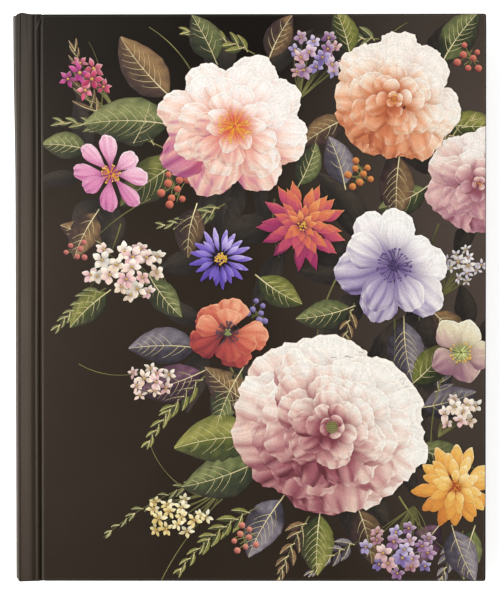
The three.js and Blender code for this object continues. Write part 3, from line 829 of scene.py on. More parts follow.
STALK_INKS, VEIN_INKS = "2a2c1a 4c4f2b 7c7a45 b3aa6a e0d49a", "7a6b42 b9a76c e8dcae fbf3cf"
BLUSH, TIP, STALK = "5d3f4a", 0.82, 0.12
LEAF_STEPS, LEAF_SHADOW = 13, 0.72
LEAF_LIFT, LEAF_ARCH, LEAF_RIPPLE = 0.004, 0.022, 0.006


def leaf(
    sheet, root, heading, length, width, bend, level, inks, rng, tone, veins, vein=0.36, vein_inks=VEIN_INKS,
    vein_tone=0.6, side_veins=True, skip=0.12, blushed=0.25,
):
    """A leaf blade on a curved rib, one half darker, with pale veins drawn on it."""
    path, turn = arc_path(root, heading, length, bend, LEAF_STEPS)
    share = np.linspace(0, 1, LEAF_STEPS)
    across, along = np.meshgrid([-1, -0.9, -0.62, -0.3, 0, 0.3, 0.62, 0.9, 1], share)
    outward = np.abs(across)
    half = 0.5 * width * np.sin(math.pi * np.clip(share, 0.012, 0.988) ** TIP) ** 0.8
    half = half[:, None] * (1 + 0.05 * waver(along * 3, rng.uniform(0, 6), 2) * outward ** 4)
    side = np.stack([-np.sin(turn), np.cos(turn)], 1)
    x, y = (path[:, i:i + 1] + side[:, i:i + 1] * across * half for i in (0, 1))
    wave = np.cos(TURN * (along * veins - 0.9 * outward))
    facing = side @ PICTURE_LIGHT
    tone = tone + 0.2 * np.sign(across) * np.sign(facing)[:, None] * (outward > 0.01)
    tone = tone + 0.07 * wave + 0.16 * (along - 0.4) - 0.2 * outward ** 6 + rng.uniform(-0.08, 0.08)
    tone = tone + 0.06 * waver(across + 2 * along, rng.uniform(0, 6), 1.5)
    paint = mixed(ramp(inks, tone), ink(BLUSH), blushed * outward ** 3 * along)
    paint = paint * (1 - LEAF_SHADOW * in_shadow(x, y, level)[..., None])
    ripple = LEAF_RIPPLE * wave * (1 - across ** 4)
    z = TOP + level + LEAF_LIFT + LEAF_ARCH * (1 - outward) * np.sin(math.pi * along) + ripple
    raised_grid(sheet, x, y, z, paint, across, along, rng.uniform(0, 1))
    high = level + 0.02
    rib = np.concatenate([arc_path(root, heading + math.pi, STALK * length, 0.1, 4)[0][:0:-1], path])
    stroke(sheet, rib, vein * np.linspace(1.5, 0.35, len(rib)), high, vein_inks, vein_tone)
    for k in range(veins if side_veins else 0):
        s = 0.1 + 0.76 * (k + 0.4) / veins
        place = s * (LEAF_STEPS - 1)
        j = int(place)
        foot = path[j] + (path[j + 1] - path[j]) * (place - j)
        for way in (1, -1):
            if rng.uniform() < skip:
                continue
            full = math.sin(math.pi * min(0.97, s + 0.1) ** TIP) ** 0.8
            reach = 0.5 * width * full * rng.uniform(0.72, 0.98)
            line, _ = arc_path(foot, turn[j] + way * 0.95, reach * 1.18, -way * 0.55, 6)
            stroke(sheet, line, vein * 0.66 * np.linspace(1, 0.3, 6), high, vein_inks, vein_tone - 0.1)


def finish_print(name, sheet, material):
    """Makes the print's mesh, trims it where the picture runs off the cover, and fixes it to the cover."""
    mesh = bpy.data.meshes.new(name)
    points, paint, brush = (np.concatenate(sheet[key]) for key in ("points", "paint", "brush"))
    mesh.from_pydata((points * MM).tolist(), [], sheet["faces"])
    opaque = np.concatenate([paint, np.ones((len(paint), 1))], 1)
    for key, kind, slot, values in (
        ("paint", "FLOAT_COLOR", "color", opaque), ("brush", "FLOAT_VECTOR", "vector", brush),
    ):
        mesh.attributes.new(key, kind, "POINT").data.foreach_set(slot, values.astype(np.float32).ravel())
    work = bmesh.new()
    work.from_mesh(mesh)
    for axis, limit, edge in (
        (0, CUT_RIGHT, FORE), (0, CUT_LEFT, None), (1, CUT_HIGH, HEAD), (1, -CUT_HIGH, -HEAD),
    ):
        way = math.copysign(1, limit)
        bends = [edge - way * inset for inset in (EDGE_ROLL, 0.7 * EDGE_ROLL)] if edge else []
        for line in [limit] + bends:
            if (points[:, axis] * way).max() <= line * way:
                continue
            place, normal = [0, 0, 0], [0, 0, 0]
            place[axis], normal[axis] = line * MM, way
            everything = work.verts[:] + work.edges[:] + work.faces[:]
            cut = bmesh.ops.bisect_plane(
                work, geom=everything, dist=1e-7, plane_co=place, plane_no=normal, clear_outer=line == limit
            )
            rim = [e for e in cut["geom_cut"] if isinstance(e, bmesh.types.BMEdge) and e.is_boundary]
            if rim:
                bmesh.ops.edgeloop_fill(work, edges=rim)
        if bends:
            for vert in work.verts:
                over = (vert.co[axis] / MM - bends[0]) * way / EDGE_ROLL
                if over > 0:
                    vert.co.z -= EDGE_ROLL * (1 - math.sqrt(1 - over * over)) * MM
    bmesh.ops.dissolve_degenerate(work, edges=work.edges[:], dist=1e-8)
    bmesh.ops.recalc_face_normals(work, faces=work.faces)
    work.to_mesh(mesh)
    work.free()
    mesh.materials.append(material)
    mesh.shade_smooth()
    mesh.set_sharp_from_angle(angle=math.radians(50))
    piece = bpy.data.objects.new(name, mesh)
    bpy.context.scene.collection.objects.link(piece)
    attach(piece, "front_cover")


def printed_ink(name, streak, along=3.0, across=26.0):
    """Opaque ink laid on with a dry brush: streaks that follow the petal, specks, and the film's gloss."""
    material, shader = new_material(name)
    paint = node(material, "ShaderNodeAttribute", attribute_name="paint").outputs["Color"]
    brush = node(material, "ShaderNodeAttribute", attribute_name="brush").outputs["Vector"]
    hairs = noise(material, combined(material, "MULTIPLY", brush, (across / 2, along, 40.0)), 1.0, 3, 0.6)
    both = reckon(material, "ADD", hairs, noise(material, spot(material), 1400, 2))
    tone = spread(material, both, (0.7, 1.3), (1 - streak, 1 + streak))
    return dress(
        material, shader, scaled(material, paint, tone), spread(material, hairs, MIDDLE, (0.38, 0.52)),
        hairs, 0.2, 0.00003, Specular_IOR_Level=0.35,
    )


petal_ink = printed_ink("petal_ink", 0.14)
leaf_ink = printed_ink("leaf_ink", 0.2, 5.0, 18.0)
line_ink = printed_ink("line_ink", 0.12, 8.0, 4.0)


# Spine lining: open-weave mull glued over the folds with a strip of kraft paper on it. Both bend between one
# section and the next, so they are made in lengths that run from the middle of a section to the next one's.
# Where the book opens flat they are pressed thin between the two folds that come back to back.
SECTION_PITCH, SECTION_THICK, FIRST_SECTION = 1.025, 0.975, 3.4
OPENING_HEIGHT = 9.525
MULL_HALF, KRAFT_HALF, LINING_STEPS = 98.0, 108.0, 9
FROM_OPENING = (0.0, 0.5, 0.8, 1.5)
LINING_FACES = {
    "mull": ((-91.46, -91.22, -91.22, -91.70), (-91.37, -91.10, -91.10, -91.42)),
    "kraft": ((-91.53, -91.31, -91.31, -91.97), (-91.46, -91.22, -91.22, -91.72)),
}


def gauze(name):
    material, shader = new_material(name)
    weave = reckon(material, "MAXIMUM", *(waves(material, way, 320, 0.6, 1) for way in "YZ"))
    cloth = stirred(material, weave, (0.60, 0.55, 0.44, 1), (0.82, 0.79, 0.70, 1))
    return dress(material, shader, cloth, 0.9, weave, 0.8, 0.0001)


mull_gauze = gauze("mull_gauze")
kraft = laid_paper("kraft_paper", (0.34, 0.235, 0.135, 1), (0.46, 0.335, 0.21, 1), 500)


def section_middle(number):
    return FIRST_SECTION + (SECTIONS - number) * SECTION_PITCH + SECTION_THICK / 2


def lining_length(name, low, high, body_a, body_b, steps=LINING_STEPS):
    """One length of mull and kraft paper, thin near the opening. Between two bodies it stays where it is
    made, else it is fixed to its one body.
    """
    heights = np.linspace(low, high, steps)
    pieces = []
    for part, half, material in (("mull", MULL_HALF, mull_gauze), ("kraft", KRAFT_HALF, kraft)):
        along = np.linspace(-half, half, LINING_STEPS)
        points = []
        for z in heights:
            away = abs(z - OPENING_HEIGHT)
            back, front = (np.interp(away, FROM_OPENING, face) for face in LINING_FACES[part])
            points += [(back, y, z) for y in along] + [(front, y, z) for y in along[::-1]]
        count = 2 * len(along)
        piece = solid_piece(f"{name}_{part}", points, walls(steps, count) + lids(steps, count), material)
        if body_b:
            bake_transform(piece)
        else:
            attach(piece, body_a)
        pieces.append(piece)
    return pieces


for number in range(SECTIONS, 1, -1):
    mull_length, kraft_length = lining_length(
        f"lining_{number:02d}_{number - 1:02d}", section_middle(number), section_middle(number - 1),
        f"leaves_{number:02d}", f"leaves_{number - 1:02d}",
    )
    if number == SECTIONS:
        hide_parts("mull")
        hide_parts("spine_liner")
lining_length("lining_12", FIRST_SECTION, section_middle(SECTIONS), "leaves_12", None, 3)
lining_length("lining_01", section_middle(1), section_middle(1) + SECTION_THICK / 2, "leaves_01", None, 3)


# The mull's two flanges: the cloth turns off the back of the sections and lies on each board, glued down
# under the pasted leaf of the endpaper.
FLANGE_LINE, MULL_THICK = [(-91.55, 2.78), (-90.9, 2.66), (-84.2, 2.64), (-66.0, 2.64)], 0.12


def rolled_out(name, outline, half, material, flip=False):
    """A sheet with one outline of (x, z) places all along the book, turned over for the front cover."""
    along = np.linspace(-half, half, 5)
    points = [(x, y, TOP - z if flip else z) for y in along for x, z in outline]
    faces = walls(len(along), len(outline)) + lids(len(along), len(outline))
    return solid_piece(name, points, faces, material)


for name, body, flip in (
    ("mull_flange_back", "back_cover", False), ("mull_flange_front", "front_cover", True),
):
    outline = FLANGE_LINE + [(x, z + MULL_THICK) for x, z in reversed(FLANGE_LINE)]
    flange = rolled_out(name, outline, MULL_HALF, mull_gauze, flip)
    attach(flange, body)


# The folded edge of the back endpaper: one sheet of strong paper makes both leaves, and here it turns from
# the leaf on the board to the loose one.
FOLD_OUTSIDE = [
    (-90.6, 3.0), (-91.0, 2.98), (-91.13, 3.04), (-91.17, 3.13), (-91.13, 3.24), (-91.0, 3.3), (-90.7, 3.32),
]
FOLD_INSIDE = [(-90.97, 3.2), (-91.04, 3.13), (-90.97, 3.08)]
endpaper_fold = rolled_out("endpaper_fold", FOLD_OUTSIDE + FOLD_INSIDE, 111.3, endpaper)
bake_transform(endpaper_fold)


# Endbands: silk wound in two colours over a cord, sewn to the folds at head and tail. One turn or more of
# the winding sits on each section, and a tape of the same silk is glued to the fold.
BEAD_AT, BEAD_RADIUS, BEAD_HOLLOW = (-90.54, 112.2), 0.8, 0.09
TAPE_END = 101.4
TAPE_FACES, OPENING_TAPE_FACES = (-91.7, -91.52), (-91.22, -91.06)
TURN_ROOM = 0.012


def wound_silk(name):
    material, shader = new_material(name)
    turn = reckon(material, "MODULO", part_of(material, spot(material), "Z"), 2 * SECTION_PITCH * MM)
    stripe = reckon(material, "GREATER_THAN", turn, SECTION_PITCH * MM)
    strand = waves(material, "Z", 900, 0.4)
    dyed = stirred(material, stripe, (0.80, 0.73, 0.60, 1), (0.16, 0.03, 0.045, 1))
    # Painted shading: each wound strand is lighter and darker across its round, as the light falls on it.
    silk = scaled(material, dyed, spread(material, strand, (0, 1), (0.75, 1.1)))
    return dress(material, shader, silk, 0.38, strand, 0.6, 0.00006, Sheen_Weight=0.4)


band_silk = wound_silk("band_silk")
for number in range(1, SECTIONS + 1):
    middle = section_middle(number)
    back, front = OPENING_TAPE_FACES if abs(middle - OPENING_HEIGHT) < SECTION_PITCH else TAPE_FACES
    heights = np.linspace(middle - SECTION_PITCH / 2 + TURN_ROOM, middle + SECTION_PITCH / 2 - TURN_ROOM, 9)
    points, faces = [], []
    for end in (1, -1):
        base = len(points)
        for z in heights:
            turn = (z - heights[0]) / SECTION_PITCH
            radius = BEAD_RADIUS - BEAD_HOLLOW * (2 * abs((2 * turn) % 1 - 0.5)) ** 2
            ring = [(back, TAPE_END), (front, TAPE_END), (front, BEAD_AT[1] - radius)]
            ring += [around(BEAD_AT, radius, math.radians(-110 + 24 * k)) for k in range(11)]
            points += [(x, end * y, z) for x, y in ring + [(back, BEAD_AT[1])]]
        count = len(ring) + 1
        faces += walls(len(heights), count, base=base) + lids(len(heights), count, base)
    band = solid_piece(f"endbands_{number:02d}", points, faces, band_silk)
    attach(band, f"leaves_{number:02d}")
    if number == 1:
        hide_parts("headband", "tailband")


# Great blooms: a ranunculus, a camellia and an anemone, printed in opaque inks under the film. Each is made
# of rows of petals, the outermost first, round a heart of stamens or beads.
LEVEL_BACK, LEVEL_MID, LEVEL_FRONT = 0.13, 0.24, 0.35


def stamens(sheet, centre, inner, outer, count, level, line_inks, heads, rng):
    """A ring of fine stalks with beads of pollen at their ends."""
    bead = min(1.0, 0.45 + 0.1 * outer)
    for _ in range(count):
        heading = rng.uniform(0, TURN)
        reach = inner + (outer - inner) * rng.uniform(0.3, 1) ** 0.7
        start = around(centre, inner * 0.4, heading)
        path, _ = arc_path(start, heading + rng.uniform(-0.15, 0.15), reach, rng.uniform(-0.4, 0.4), 4)
        stroke(sheet, path, [0.22, 0.2, 0.17, 0.14], level, line_inks, 0.6)
        dot(sheet, *path[-1], rng.uniform(0.32, 0.52) * bead, level + 0.02, *heads)


def rosette(count_outer, rows, start_tone):
    """Rows of overlapping petals that grow smaller and darker towards the heart."""
    made = []
    for number in range(rows):
        s = number / (rows - 1)
        size = (1 - s) ** 0.9
        made.append(row(
            max(4, round(count_outer - 3.2 * s)), 0.02 + 0.3 * size, 0.12 + 0.58 * size, 0.14 + 0.62 * size,
            0.1 * s, "round" if number < 3 else "cup",
            tone=start_tone - 0.3 * s, frill=0.12 - 0.07 * s, deep=0.5,
        ))
    return made


ranunculus, RANUNCULUS_AT = start_print(), (33.0, -52.0)
bloom(
    ranunculus, RANUNCULUS_AT, 38.0, LEVEL_FRONT, "5e2430 a05a66 cf9a98 edcdbf faebe0 fffdf6",
    [row(7, 0.28, 0.76, 0.84, frill=0.06, tone=0.58, notch=0.04), *rosette(8, 9, 0.58)],
    11, root_ink="7c3440", rim_ink="fff6ea", lit=0.62, rise=0.52, folds=0.26, vary=0.15, root=0.85,
    deep=0.48, squash=(math.radians(60), 0.93),
)
for ring in range(3):
    count = 7 + 4 * ring
    for k in range(count):
        place = around(RANUNCULUS_AT, 0.6 + 0.8 * ring, TURN * k / count + ring)
        dot(ranunculus, *place, 0.42, LEVEL_FRONT + 0.11, "3f4a24", "9aa35c")
finish_print("print_ranunculus", ranunculus, petal_ink)


def flower(
    name, at, radius, level, inks, rows, seed, ring=None, beads=None, stalks="b0571d e79a2c f8c648",
    heads=("c8781c", "ffe07a"), ring_lift=0.07, bead_inks=("a8640f", "ffd75e"), bead=0.42, rng=None, **look,
):
    """A bloom with its heart. ring is the size and number of its stamens, beads those of its button."""
    sheet = start_print()
    bloom(sheet, at, radius, level, inks, rows, seed, **look)
    rng = rng or np.random.default_rng(seed + 1)
    if ring:
        stamens(sheet, at, *ring, level + ring_lift, stalks, heads, rng)
    if beads:
        button(sheet, at, *beads, bead, level + 0.09, bead_inks, rng)
    finish_print(name, sheet, petal_ink)


dice = np.random.default_rng(5)
flower("print_camellia", (-6.0, 69.0), 31.0, LEVEL_MID, "a34a80 cf83a2 ecb6a8 fadccb fff2e8 fffefa", [
    row(8, 0.26, 0.76, 0.66, frill=0.07, tone=0.56), row(8, 0.20, 0.70, 0.58, 0.014, frill=0.06, tone=0.6),
    row(7, 0.14, 0.60, 0.52, 0.028, "heart", frill=0.06, notch=0.06, tone=0.62),
    row(7, 0.10, 0.48, 0.42, 0.042, "heart", notch=0.08, tone=0.56),
    row(7, 0.06, 0.34, 0.26, 0.054, "oval", tone=0.5),
], 23, ring=(2.0, 6.4, 46), ring_lift=0.08, rng=dice, root_ink="dc6248", rim_ink="fffaf0", lit=0.62,
    rise=0.54, folds=0.32, vary=0.16, root=0.85, deep=0.5, squash=(math.radians(100), 0.9),
    throat="d9502f", throat_size=0.3)
flower("print_anemone", (58.0, 13.0), 25.0, LEVEL_MID, "54436f 8a79a6 bdb2cb e6dfe6 f8f3f1 fffefb", [
    row(6, 0.10, 0.92, 0.74, frill=0.06, tone=0.58),
    row(5, 0.06, 0.80, 0.62, 0.016, frill=0.05, notch=0.05, tone=0.62),
], 37, ring=(2.6, 6.0, 54), stalks="241a3c 3d2c5c 6a5690", heads=("1d1430", "7a66a8"), ring_lift=0.05,
    beads=(2.5, 26), bead=0.55, bead_inks=("150f22", "5c4c7e"), rng=dice, root_ink="6d5390",
    rim_ink="fffdf8", lit=0.56, rise=0.42, folds=0.3, root=0.85, deep=0.46, squash=(math.radians(20), 0.9))


# Lesser blooms: garden rose, dahlia, cosmos, zinnia, aster, hellebore and poppy. They are printed like the
# great ones, some above them and some beneath.
FULL_ROSE = {"lit": 0.58, "rise": 0.52, "folds": 0.26, "vary": 0.15, "deep": 0.48}
flower("print_dahlia", (21.0, 29.0), 18.0, LEVEL_FRONT, "6b1f49 9f2f62 c64f69 dd7650 efa765", [
    row(13, 0.36, 0.64, 0.24, 0.0, "point", tone=0.3), row(12, 0.28, 0.60, 0.23, 0.014, "point", tone=0.4),
    row(11, 0.20, 0.52, 0.21, 0.028, "point", tone=0.52),
    row(9, 0.12, 0.42, 0.19, 0.042, "point", tone=0.62), row(8, 0.05, 0.30, 0.16, 0.056, "point", tone=0.74),
], 43, beads=(1.8, 16), root_ink="5a173c", rim_ink="f3bd80", lit=0.3, rise=0.3, root=0.8, deep=0.3)
flower("print_aster", (-12.0, 16.0), 12.0, LEVEL_FRONT, "33246e 4f3a9c 7159bf 9a86d6 cdbff0", [
    row(17, 0.30, 0.70, 0.19, 0.0, "strap"), row(14, 0.24, 0.56, 0.17, 0.014, "strap", tone=0.6),
], 59, beads=(2.5, 40), root_ink="2b1c5c", rim_ink="d9cdf6", lit=0.3, rise=0.2)
flower("print_rose", (58.0, 80.0), 25.0, LEVEL_MID, "a8553a d58258 eeac84 f8d2b4 fdeedd fffaf2", [
    row(6, 0.26, 0.76, 0.86, frill=0.06), *rosette(7, 7, 0.56),
], 41, ring=(0.6, 1.8, 18), root_ink="b45a35", rim_ink="fff8ec", **FULL_ROSE)
flower("print_zinnia", (83.0, -76.0), 17.0, LEVEL_MID, "ac5c2c d5873c e9a64b f4c76c fbe3a8", [
    row(12, 0.30, 0.70, 0.32, 0.0, "strap", tone=0.4), row(11, 0.22, 0.60, 0.28, 0.014, "strap", tone=0.5),
    row(10, 0.14, 0.48, 0.24, 0.028, "strap", tone=0.6), row(8, 0.08, 0.34, 0.20, 0.042, "strap", tone=0.7),
], 53, beads=(2.2, 22), bead_inks=("7d2c12", "f2a23c"), root_ink="ab4a28", rim_ink="fff2ce",
    lit=0.3, rise=0.25)
flower("print_poppy", (-9.0, -14.0), 16.0, LEVEL_MID, "4d1620 873038 b84c45 d87a5e efae8c", [
    row(5, 0.06, 0.94, 0.98, 0.0, "fan", frill=0.08),
    row(4, 0.04, 0.72, 0.84, 0.016, "fan", frill=0.08, tone=0.6),
], 67, ring=(1.5, 4.2, 40), stalks="1e1420 3a2938 6b5664", heads=("17101a", "6f5a6c"),
    beads=(1.3, 12), bead=0.5, bead_inks=("3a4424", "a8b06a"), root_ink="2c0a14", rim_ink="f6b58e",
    lit=0.34, rise=0.24, folds=0.2, squash=(math.radians(70), 0.85))
flower("print_cosmos", (-56.0, 50.0), 17.0, LEVEL_BACK, "7d2a63 b14d8c d987b3 efbcd2 fbe6ee", [
    row(8, 0.12, 0.88, 0.50, 0.0, "heart", frill=0.05, notch=0.07),
], 47, ring=(1.6, 3.4, 26), root_ink="8f2a6a", rim_ink="fff0f6", lit=0.3, rise=0.2, folds=0.22,
    squash=(math.radians(40), 0.82))
flower("print_hellebore", (85.0, -22.0), 14.0, LEVEL_BACK, "5f3350 93677a c9a8a2 e3d9b8 f6f3df", [
    row(5, 0.08, 0.92, 0.86, 0.0, "oval", frill=0.03),
], 61, ring=(1.5, 4.0, 34), stalks="8f9a4c c6cc7c f2f0b8", root_ink="6c7a3a", rim_ink="fdfbe9", lit=0.34,
    folds=0.16, throat="8a9a50")
flower("print_fore_edge_rose", (92.0, 46.0), 21.0, LEVEL_BACK, "8a4a5c c08a98 e6bcb8 f7e0d4 fffaf4", [
    row(6, 0.26, 0.76, 0.86, frill=0.06), *rosette(7, 6, 0.56),
], 71, ring=(0.5, 1.4, 14), root_ink="8f4a55", rim_ink="fffaf2", **FULL_ROSE)


# Small blossoms: sprays of five-petalled florets, and berries on thin stalks, printed between the blooms.
# Each spray springs from one foot.
GOLDEN_ANGLE = 2.39996


def cluster(name, centre, reach, count, size, level, ink_rows, foot, seed, wide=0.66, shape="oval", flat=0.8):
    """A head of florets on stalks that spring from one foot, the outer ones smaller and set lower."""
    rng = np.random.default_rng(seed)
    sheet, stalks = start_print(), start_print()
    for k in range(count):
        share = (k + 0.5) / count
        a, r = GOLDEN_ANGLE * k + rng.uniform(-0.3, 0.3), reach * math.sqrt(share)
        at = (centre[0] + r * math.cos(a), centre[1] + flat * r * math.sin(a))
        grown, high = size * rng.uniform(0.85, 1.15) * (1 - 0.25 * share), level + 0.05 * (1 - share)
        inks = ink_rows[int(rng.integers(len(ink_rows)))]
        squash = (rng.uniform(0, 3.14), rng.uniform(0.72, 1.0))
        petals = [row(5, 0.06, 0.94, wide, 0.0, shape)]
        bloom(
            sheet, at, grown, high, inks, petals, int(rng.integers(1, 9999)), 0.6, squash=squash, lit=0.22,
            root_ink="6a4450", rim_ink="fffdf2", tone=0.56 + rng.uniform(-0.18, 0.18), rise=0.3,
        )
        dot(sheet, *at, 0.13 * grown, high + 0.06, "8a5a12", "f4d35e")
        mid = [(foot[i] + at[i]) / 2 + rng.uniform(-2, 2) for i in (0, 1)]
        t = np.linspace(0, 1, 7)[:, None]
        path = (1 - t) ** 2 * np.array(foot) + 2 * t * (1 - t) * np.array(mid) + t ** 2 * np.array(at)
        stroke(stalks, path, np.linspace(0.5, 0.25, 7), level - 0.06, STALK_INKS, 0.4)
    finish_print(name, sheet, petal_ink)
    finish_print(name + "_stalks", stalks, line_ink)


BLUSH_ROWS = ("b77b86 e0b3ae f6ddcf fff8ee", "a8627e d596a8 f0c8c6 fbe9df", "c9a58c ecd3bb fbf0df fffdf5")
MAUVE_ROWS = ("5a3566 8d6194 bc9bb9 e3cbd8", "6d3f5a a9748a d6a9ae f0d7cd", "4b3a78 7b6aa8 ab9dcb d9cfe6")
CREAM_ROWS = ("b08a3c dcbf6c f3e3a4 fdf8da", "c2a24e e8d489 f8efc0 fffbe6")
MAGENTA_ROWS = ("6a1350 a82a7a cf5a9e eba0c6", "7a1a3c b52f5a d95f7f f0a5ae")
WHITE_ROWS = ("a89a9c d6cccb f2ece6 ffffff", "9c8fae cabfd2 ece4ec ffffff")
POINTED, NARROW, FLAT = {"wide": 0.5, "shape": "point"}, {"wide": 0.5}, {"wide": 0.5, "flat": 0.62}
for name, *spray_of, more in (
    ("blush", (-50.0, 12.0), 15.0, 19, 4.6, 0.10, BLUSH_ROWS, (-30.0, -2.0), 101, {}),
    ("mauve", (27.0, 97.0), 12.0, 15, 4.0, 0.09, MAUVE_ROWS, (20.0, 80.0), 103, {}),
    ("magenta", (-66.0, 88.0), 9.0, 7, 5.2, 0.09, MAGENTA_ROWS, (-52.0, 72.0), 107, POINTED),
    ("white", (86.0, 13.0), 8.5, 12, 3.3, 0.09, WHITE_ROWS, (76.0, 0.0), 109, {"wide": 0.44}),
    ("plum", (60.0, -101.0), 14.0, 19, 4.0, 0.10, MAUVE_ROWS, (66.0, -84.0), 113, {}),
    ("cream", (-30.0, -88.0), 13.0, 15, 3.6, 0.09, CREAM_ROWS, (-12.0, -78.0), 127, FLAT),
    ("peach", (-40.0, -34.0), 9.0, 10, 3.6, 0.09, BLUSH_ROWS, (-26.0, -30.0), 131, NARROW),
    ("rosy", (84.0, -46.0), 8.0, 9, 3.6, 0.10, BLUSH_ROWS, (76.0, -56.0), 137, {}),
):
    cluster(f"print_{name}_spray", *spray_of, **more)

berries, berry_stalks = start_print(), start_print()
dice = np.random.default_rng(211)
for at, reach, count, size, dark, light in (
    ((-31.0, 44.0), 7.0, 9, 1.5, "5a1020", "f08a6a"), ((44.0, 50.0), 6.0, 8, 1.4, "6a1a10", "f3a25a"),
    ((3.0, -6.0), 5.0, 7, 1.3, "2b1c4a", "a79ad6"), ((-2.0, -97.0), 6.0, 8, 1.3, "6a1a20", "f2a08a"),
    ((88.0, 96.0), 6.0, 7, 1.4, "5a1020", "ee8a74"), ((-70.0, 20.0), 5.0, 6, 1.2, "4a1420", "e78a80"),
):
    for k in range(count):
        a, r = 2.4 * k + dice.uniform(-0.3, 0.3), reach * math.sqrt((k + 0.6) / count)
        x, y = around(at, r, a)
        dot(berries, x, y, size * dice.uniform(0.8, 1.1), 0.11 + 0.004 * k, dark, light, 12)
        path, _ = arc_path((x, y), a + math.pi + dice.uniform(-0.5, 0.5), r + 3, dice.uniform(-0.6, 0.6), 6)
        stroke(berry_stalks, path, np.linspace(0.28, 0.4, 6), 0.06, STALK_INKS, 0.45)
finish_print("print_berries", berries, petal_ink)
finish_print("print_berry_stalks", berry_stalks, line_ink)


# Foliage: broad leaves with drawn veins and leafy sprays, printed under the blooms in grey greens and
# browns. Far leaves sink into the dark ground.
OLIVE, MOSS = "1b2014 363e27 59623a 868c58 b7b787", "1d2215 3d4622 6a7032 9a9850 cfc78c"
BRONZE, GREY = "221917 41302a 68503a 93744d c2a57a", "242129 443f4a 6b646e 938d95 bfbaba"
PLUM, GHOST = "20151c 3d2737 674358 926c80 bb9ca8", "17130f 1f1a16 2a241e 383028 4a4036"
GHOST_VEINS = "2b251e 3d352b 574b3a 7a6b52"
SPRAY_LEVEL, FAR_LEVEL = 0.025, 0.004
GREAT_AND_LESSER, FAR_LEAVES = 11, 46
broad, far, sprays = start_print(), start_print(), start_print()
dice = np.random.default_rng(307)
BROAD_LEAVES = [
    # root, heading in degrees, length, width, bend, inks
    ((-33, 70), 170, 34, 19, 0.35, OLIVE), ((-33, 82), 138, 30, 17, -0.3, BRONZE),
    ((-28, 55), 208, 30, 17, 0.3, MOSS), ((-14, 96), 112, 20, 13, 0.2, OLIVE),
    ((8, 97), 70, 19, 11, -0.3, BRONZE), ((38, 72), 205, 20, 11, 0.2, BRONZE),
    ((40, 99), 100, 18, 11, 0.3, MOSS), ((78, 96), 62, 24, 14, -0.3, OLIVE),
    ((79, 70), 350, 22, 13, 0.3, MOSS), ((60, 56), 262, 24, 14, 0.2, BRONZE),
    ((70, 44), 215, 20, 12, -0.4, OLIVE), ((38, 46), 100, 20, 12, 0.3, GREY),
    ((20, 46), 60, 18, 10, 0.3, OLIVE), ((-22, 36), 250, 20, 12, 0.4, BRONZE),
    ((4, 8), 320, 20, 12, 0.3, MOSS), ((40, -4), 200, 22, 12, -0.3, OLIVE),
    ((62, -10), 270, 24, 15, 0.3, GREY), ((74, -6), 318, 20, 12, -0.2, BRONZE),
    ((-22, -20), 172, 27, 15, 0.3, GREY), ((-20, -30), 205, 26, 15, -0.25, PLUM),
    ((-4, -30), 238, 24, 13, 0.3, OLIVE), ((2, -56), 178, 33, 19, 0.35, MOSS),
    ((3, -66), 207, 32, 18, -0.3, OLIVE), ((2, -44), 150, 26, 14, -0.3, BRONZE),
    ((12, -82), 232, 26, 15, 0.3, GREY), ((28, -88), 262, 24, 14, 0.2, MOSS),
    ((44, -86), 292, 22, 13, -0.3, BRONZE), ((68, -60), 330, 24, 14, 0.3, OLIVE),
    ((70, -44), 8, 22, 13, 0.3, GREY), ((66, -34), 40, 22, 13, 0.3, MOSS),
    ((82, -94), 285, 22, 13, 0.3, GREY), ((90, -94), 250, 20, 12, 0.3, OLIVE),
    ((76, -92), 230, 20, 12, 0.3, PLUM), ((-62, 34), 235, 20, 12, 0.3, BRONZE),
    ((-66, 60), 165, 18, 11, 0.3, OLIVE), ((-46, 64), 60, 16, 10, 0.3, OLIVE),
    ((-40, 8), 300, 20, 11, 0.3, OLIVE), ((-58, 2), 215, 20, 11, 0.3, MOSS),
    ((-60, 22), 150, 18, 10, 0.2, BRONZE),
]
for place, degrees, length, width, bend, inks in BROAD_LEAVES:
    level, tone = 0.03 + dice.uniform(0, 0.05), 0.44 + dice.uniform(-0.06, 0.06)
    veins = 7 if length > 22 else 5
    leaf(broad, place, math.radians(degrees), length, width, bend, level, inks, dice, tone, veins)
finish_print("print_broad_leaves", broad, leaf_ink)

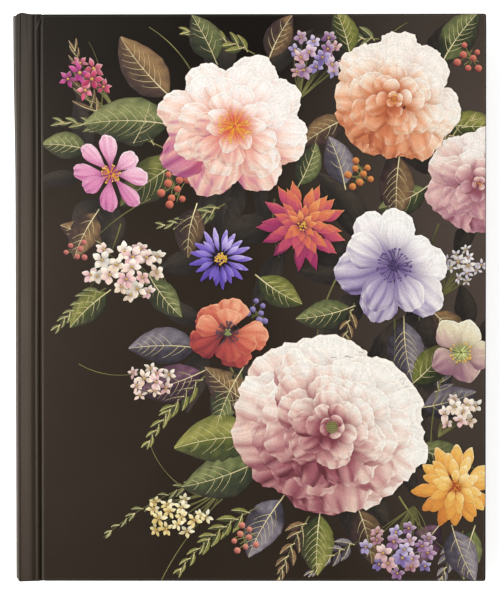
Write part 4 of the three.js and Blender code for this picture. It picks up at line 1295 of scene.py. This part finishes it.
# A spray is a leafy stem with leaves on both sides, smaller towards its end.
dice = np.random.default_rng(401)
for start, degrees, length, bend, pairs, size, slim, inks in (
    ((-34, 60), 152, 46, 0.5, 8, 9, 0.4, OLIVE), ((-60, 70), 120, 34, -0.4, 7, 9, 0.3, BRONZE),
    ((-58, 4), 205, 26, 0.5, 6, 7, 0.42, OLIVE), ((-16, -30), 215, 40, 0.5, 8, 8, 0.36, MOSS),
    ((4, -84), 205, 44, 0.5, 8, 8, 0.36, MOSS), ((-4, -70), 190, 62, 0.55, 10, 6, 0.4, OLIVE),
    ((24, -88), 236, 30, 0.3, 6, 8, 0.4, BRONZE), ((44, -98), 205, 24, 0.3, 5, 7, 0.42, GREY),
    ((52, 104), 175, 20, 0.4, 5, 7, 0.42, OLIVE), ((2, 98), 150, 30, 0.4, 6, 8, 0.4, MOSS),
    ((70, 60), 20, 24, 0.4, 5, 8, 0.42, BRONZE), ((74, -40), 60, 22, 0.4, 5, 7, 0.5, GREY),
    ((-10, 38), 210, 28, -0.4, 6, 7, 0.42, OLIVE), ((42, -2), 250, 24, 0.4, 5, 7, 0.42, BRONZE),
    ((86, -94), 240, 22, 0.2, 5, 8, 0.5, GREY),
):
    path, turn = arc_path(start, math.radians(degrees), length, bend, 17)
    stroke(sprays, path, np.linspace(0.55, 0.2, 17), SPRAY_LEVEL + 0.01, STALK_INKS, 0.4)
    for k in range(pairs):
        s = 0.14 + 0.84 * k / (pairs - 1)
        j = min(15, int(s * 16))
        for way in (1, -1):
            grown = size * (1 - 0.5 * s) * dice.uniform(0.85, 1.15)
            heading = turn[j] + way * 0.8 * (1 - 0.4 * s) + dice.uniform(-0.12, 0.12)
            foot = path[j + (way > 0) * (j < 15)]
            leaf(
                sprays, foot, heading, grown, grown * slim, way * -0.35, SPRAY_LEVEL, inks, dice,
                tone=0.45, veins=3, vein=0.3, vein_tone=0.5, side_veins=False,
            )
finish_print("print_sprays", sprays, leaf_ink)

for _ in range(FAR_LEAVES):
    a = dice.uniform(0, 6.28)
    cx, cy, radius, level = shadows[int(dice.integers(0, GREAT_AND_LESSER))]
    heading = math.atan2(math.sin(a), math.cos(a) - 0.3)
    leaf(
        far, around((cx, cy), 0.8 * radius, heading), heading + dice.uniform(-0.4, 0.4), dice.uniform(16, 32),
        dice.uniform(6, 14), dice.uniform(-0.6, 0.6), FAR_LEVEL, GHOST, dice, tone=0.5, veins=5, vein=0.26,
        vein_inks=GHOST_VEINS, vein_tone=0.05, skip=0.5, blushed=0.1,
    )
finish_print("print_far_leaves", far, leaf_ink)


# Long stems and tendrils: they join the blooms, and are printed as thin raised lines that taper like the
# stroke of a fine brush.
stems = start_print()
for start, degrees, length, bend, width in (
    ((-20, 56), 200, 40, -0.5, 0.8), ((-40, 40), 205, 30, 0.4, 0.6), ((10, 40), 260, 24, 0.5, 0.8),
    ((36, 10), 240, 30, 0.4, 0.8), ((58, -8), 275, 30, -0.3, 0.9), ((76, 30), 250, 40, 0.3, 0.8),
    ((78, -30), 250, 34, 0.4, 0.8), ((-8, -28), 300, 20, 0.4, 0.9), ((0, -72), 215, 66, 0.6, 0.6),
    ((-20, -80), 160, 30, -0.9, 0.5), ((60, -80), 300, 30, 0.4, 0.8), ((-44, -30), 195, 26, -0.8, 0.45),
    ((-60, 76), 80, 28, 0.7, 0.5), ((-52, 30), 255, 30, -0.4, 0.6), ((52, 100), 60, 16, -0.6, 0.5),
    ((-24, 92), 120, 24, 0.5, 0.6),
):
    path, _ = arc_path(start, math.radians(degrees), length, bend, 22)
    stroke(stems, path, width * np.linspace(1, 0.45, 22), 0.045, "26281a 4a4c2b 77743f aea465 dccf94", 0.42)
finish_print("print_stems", stems, line_ink)
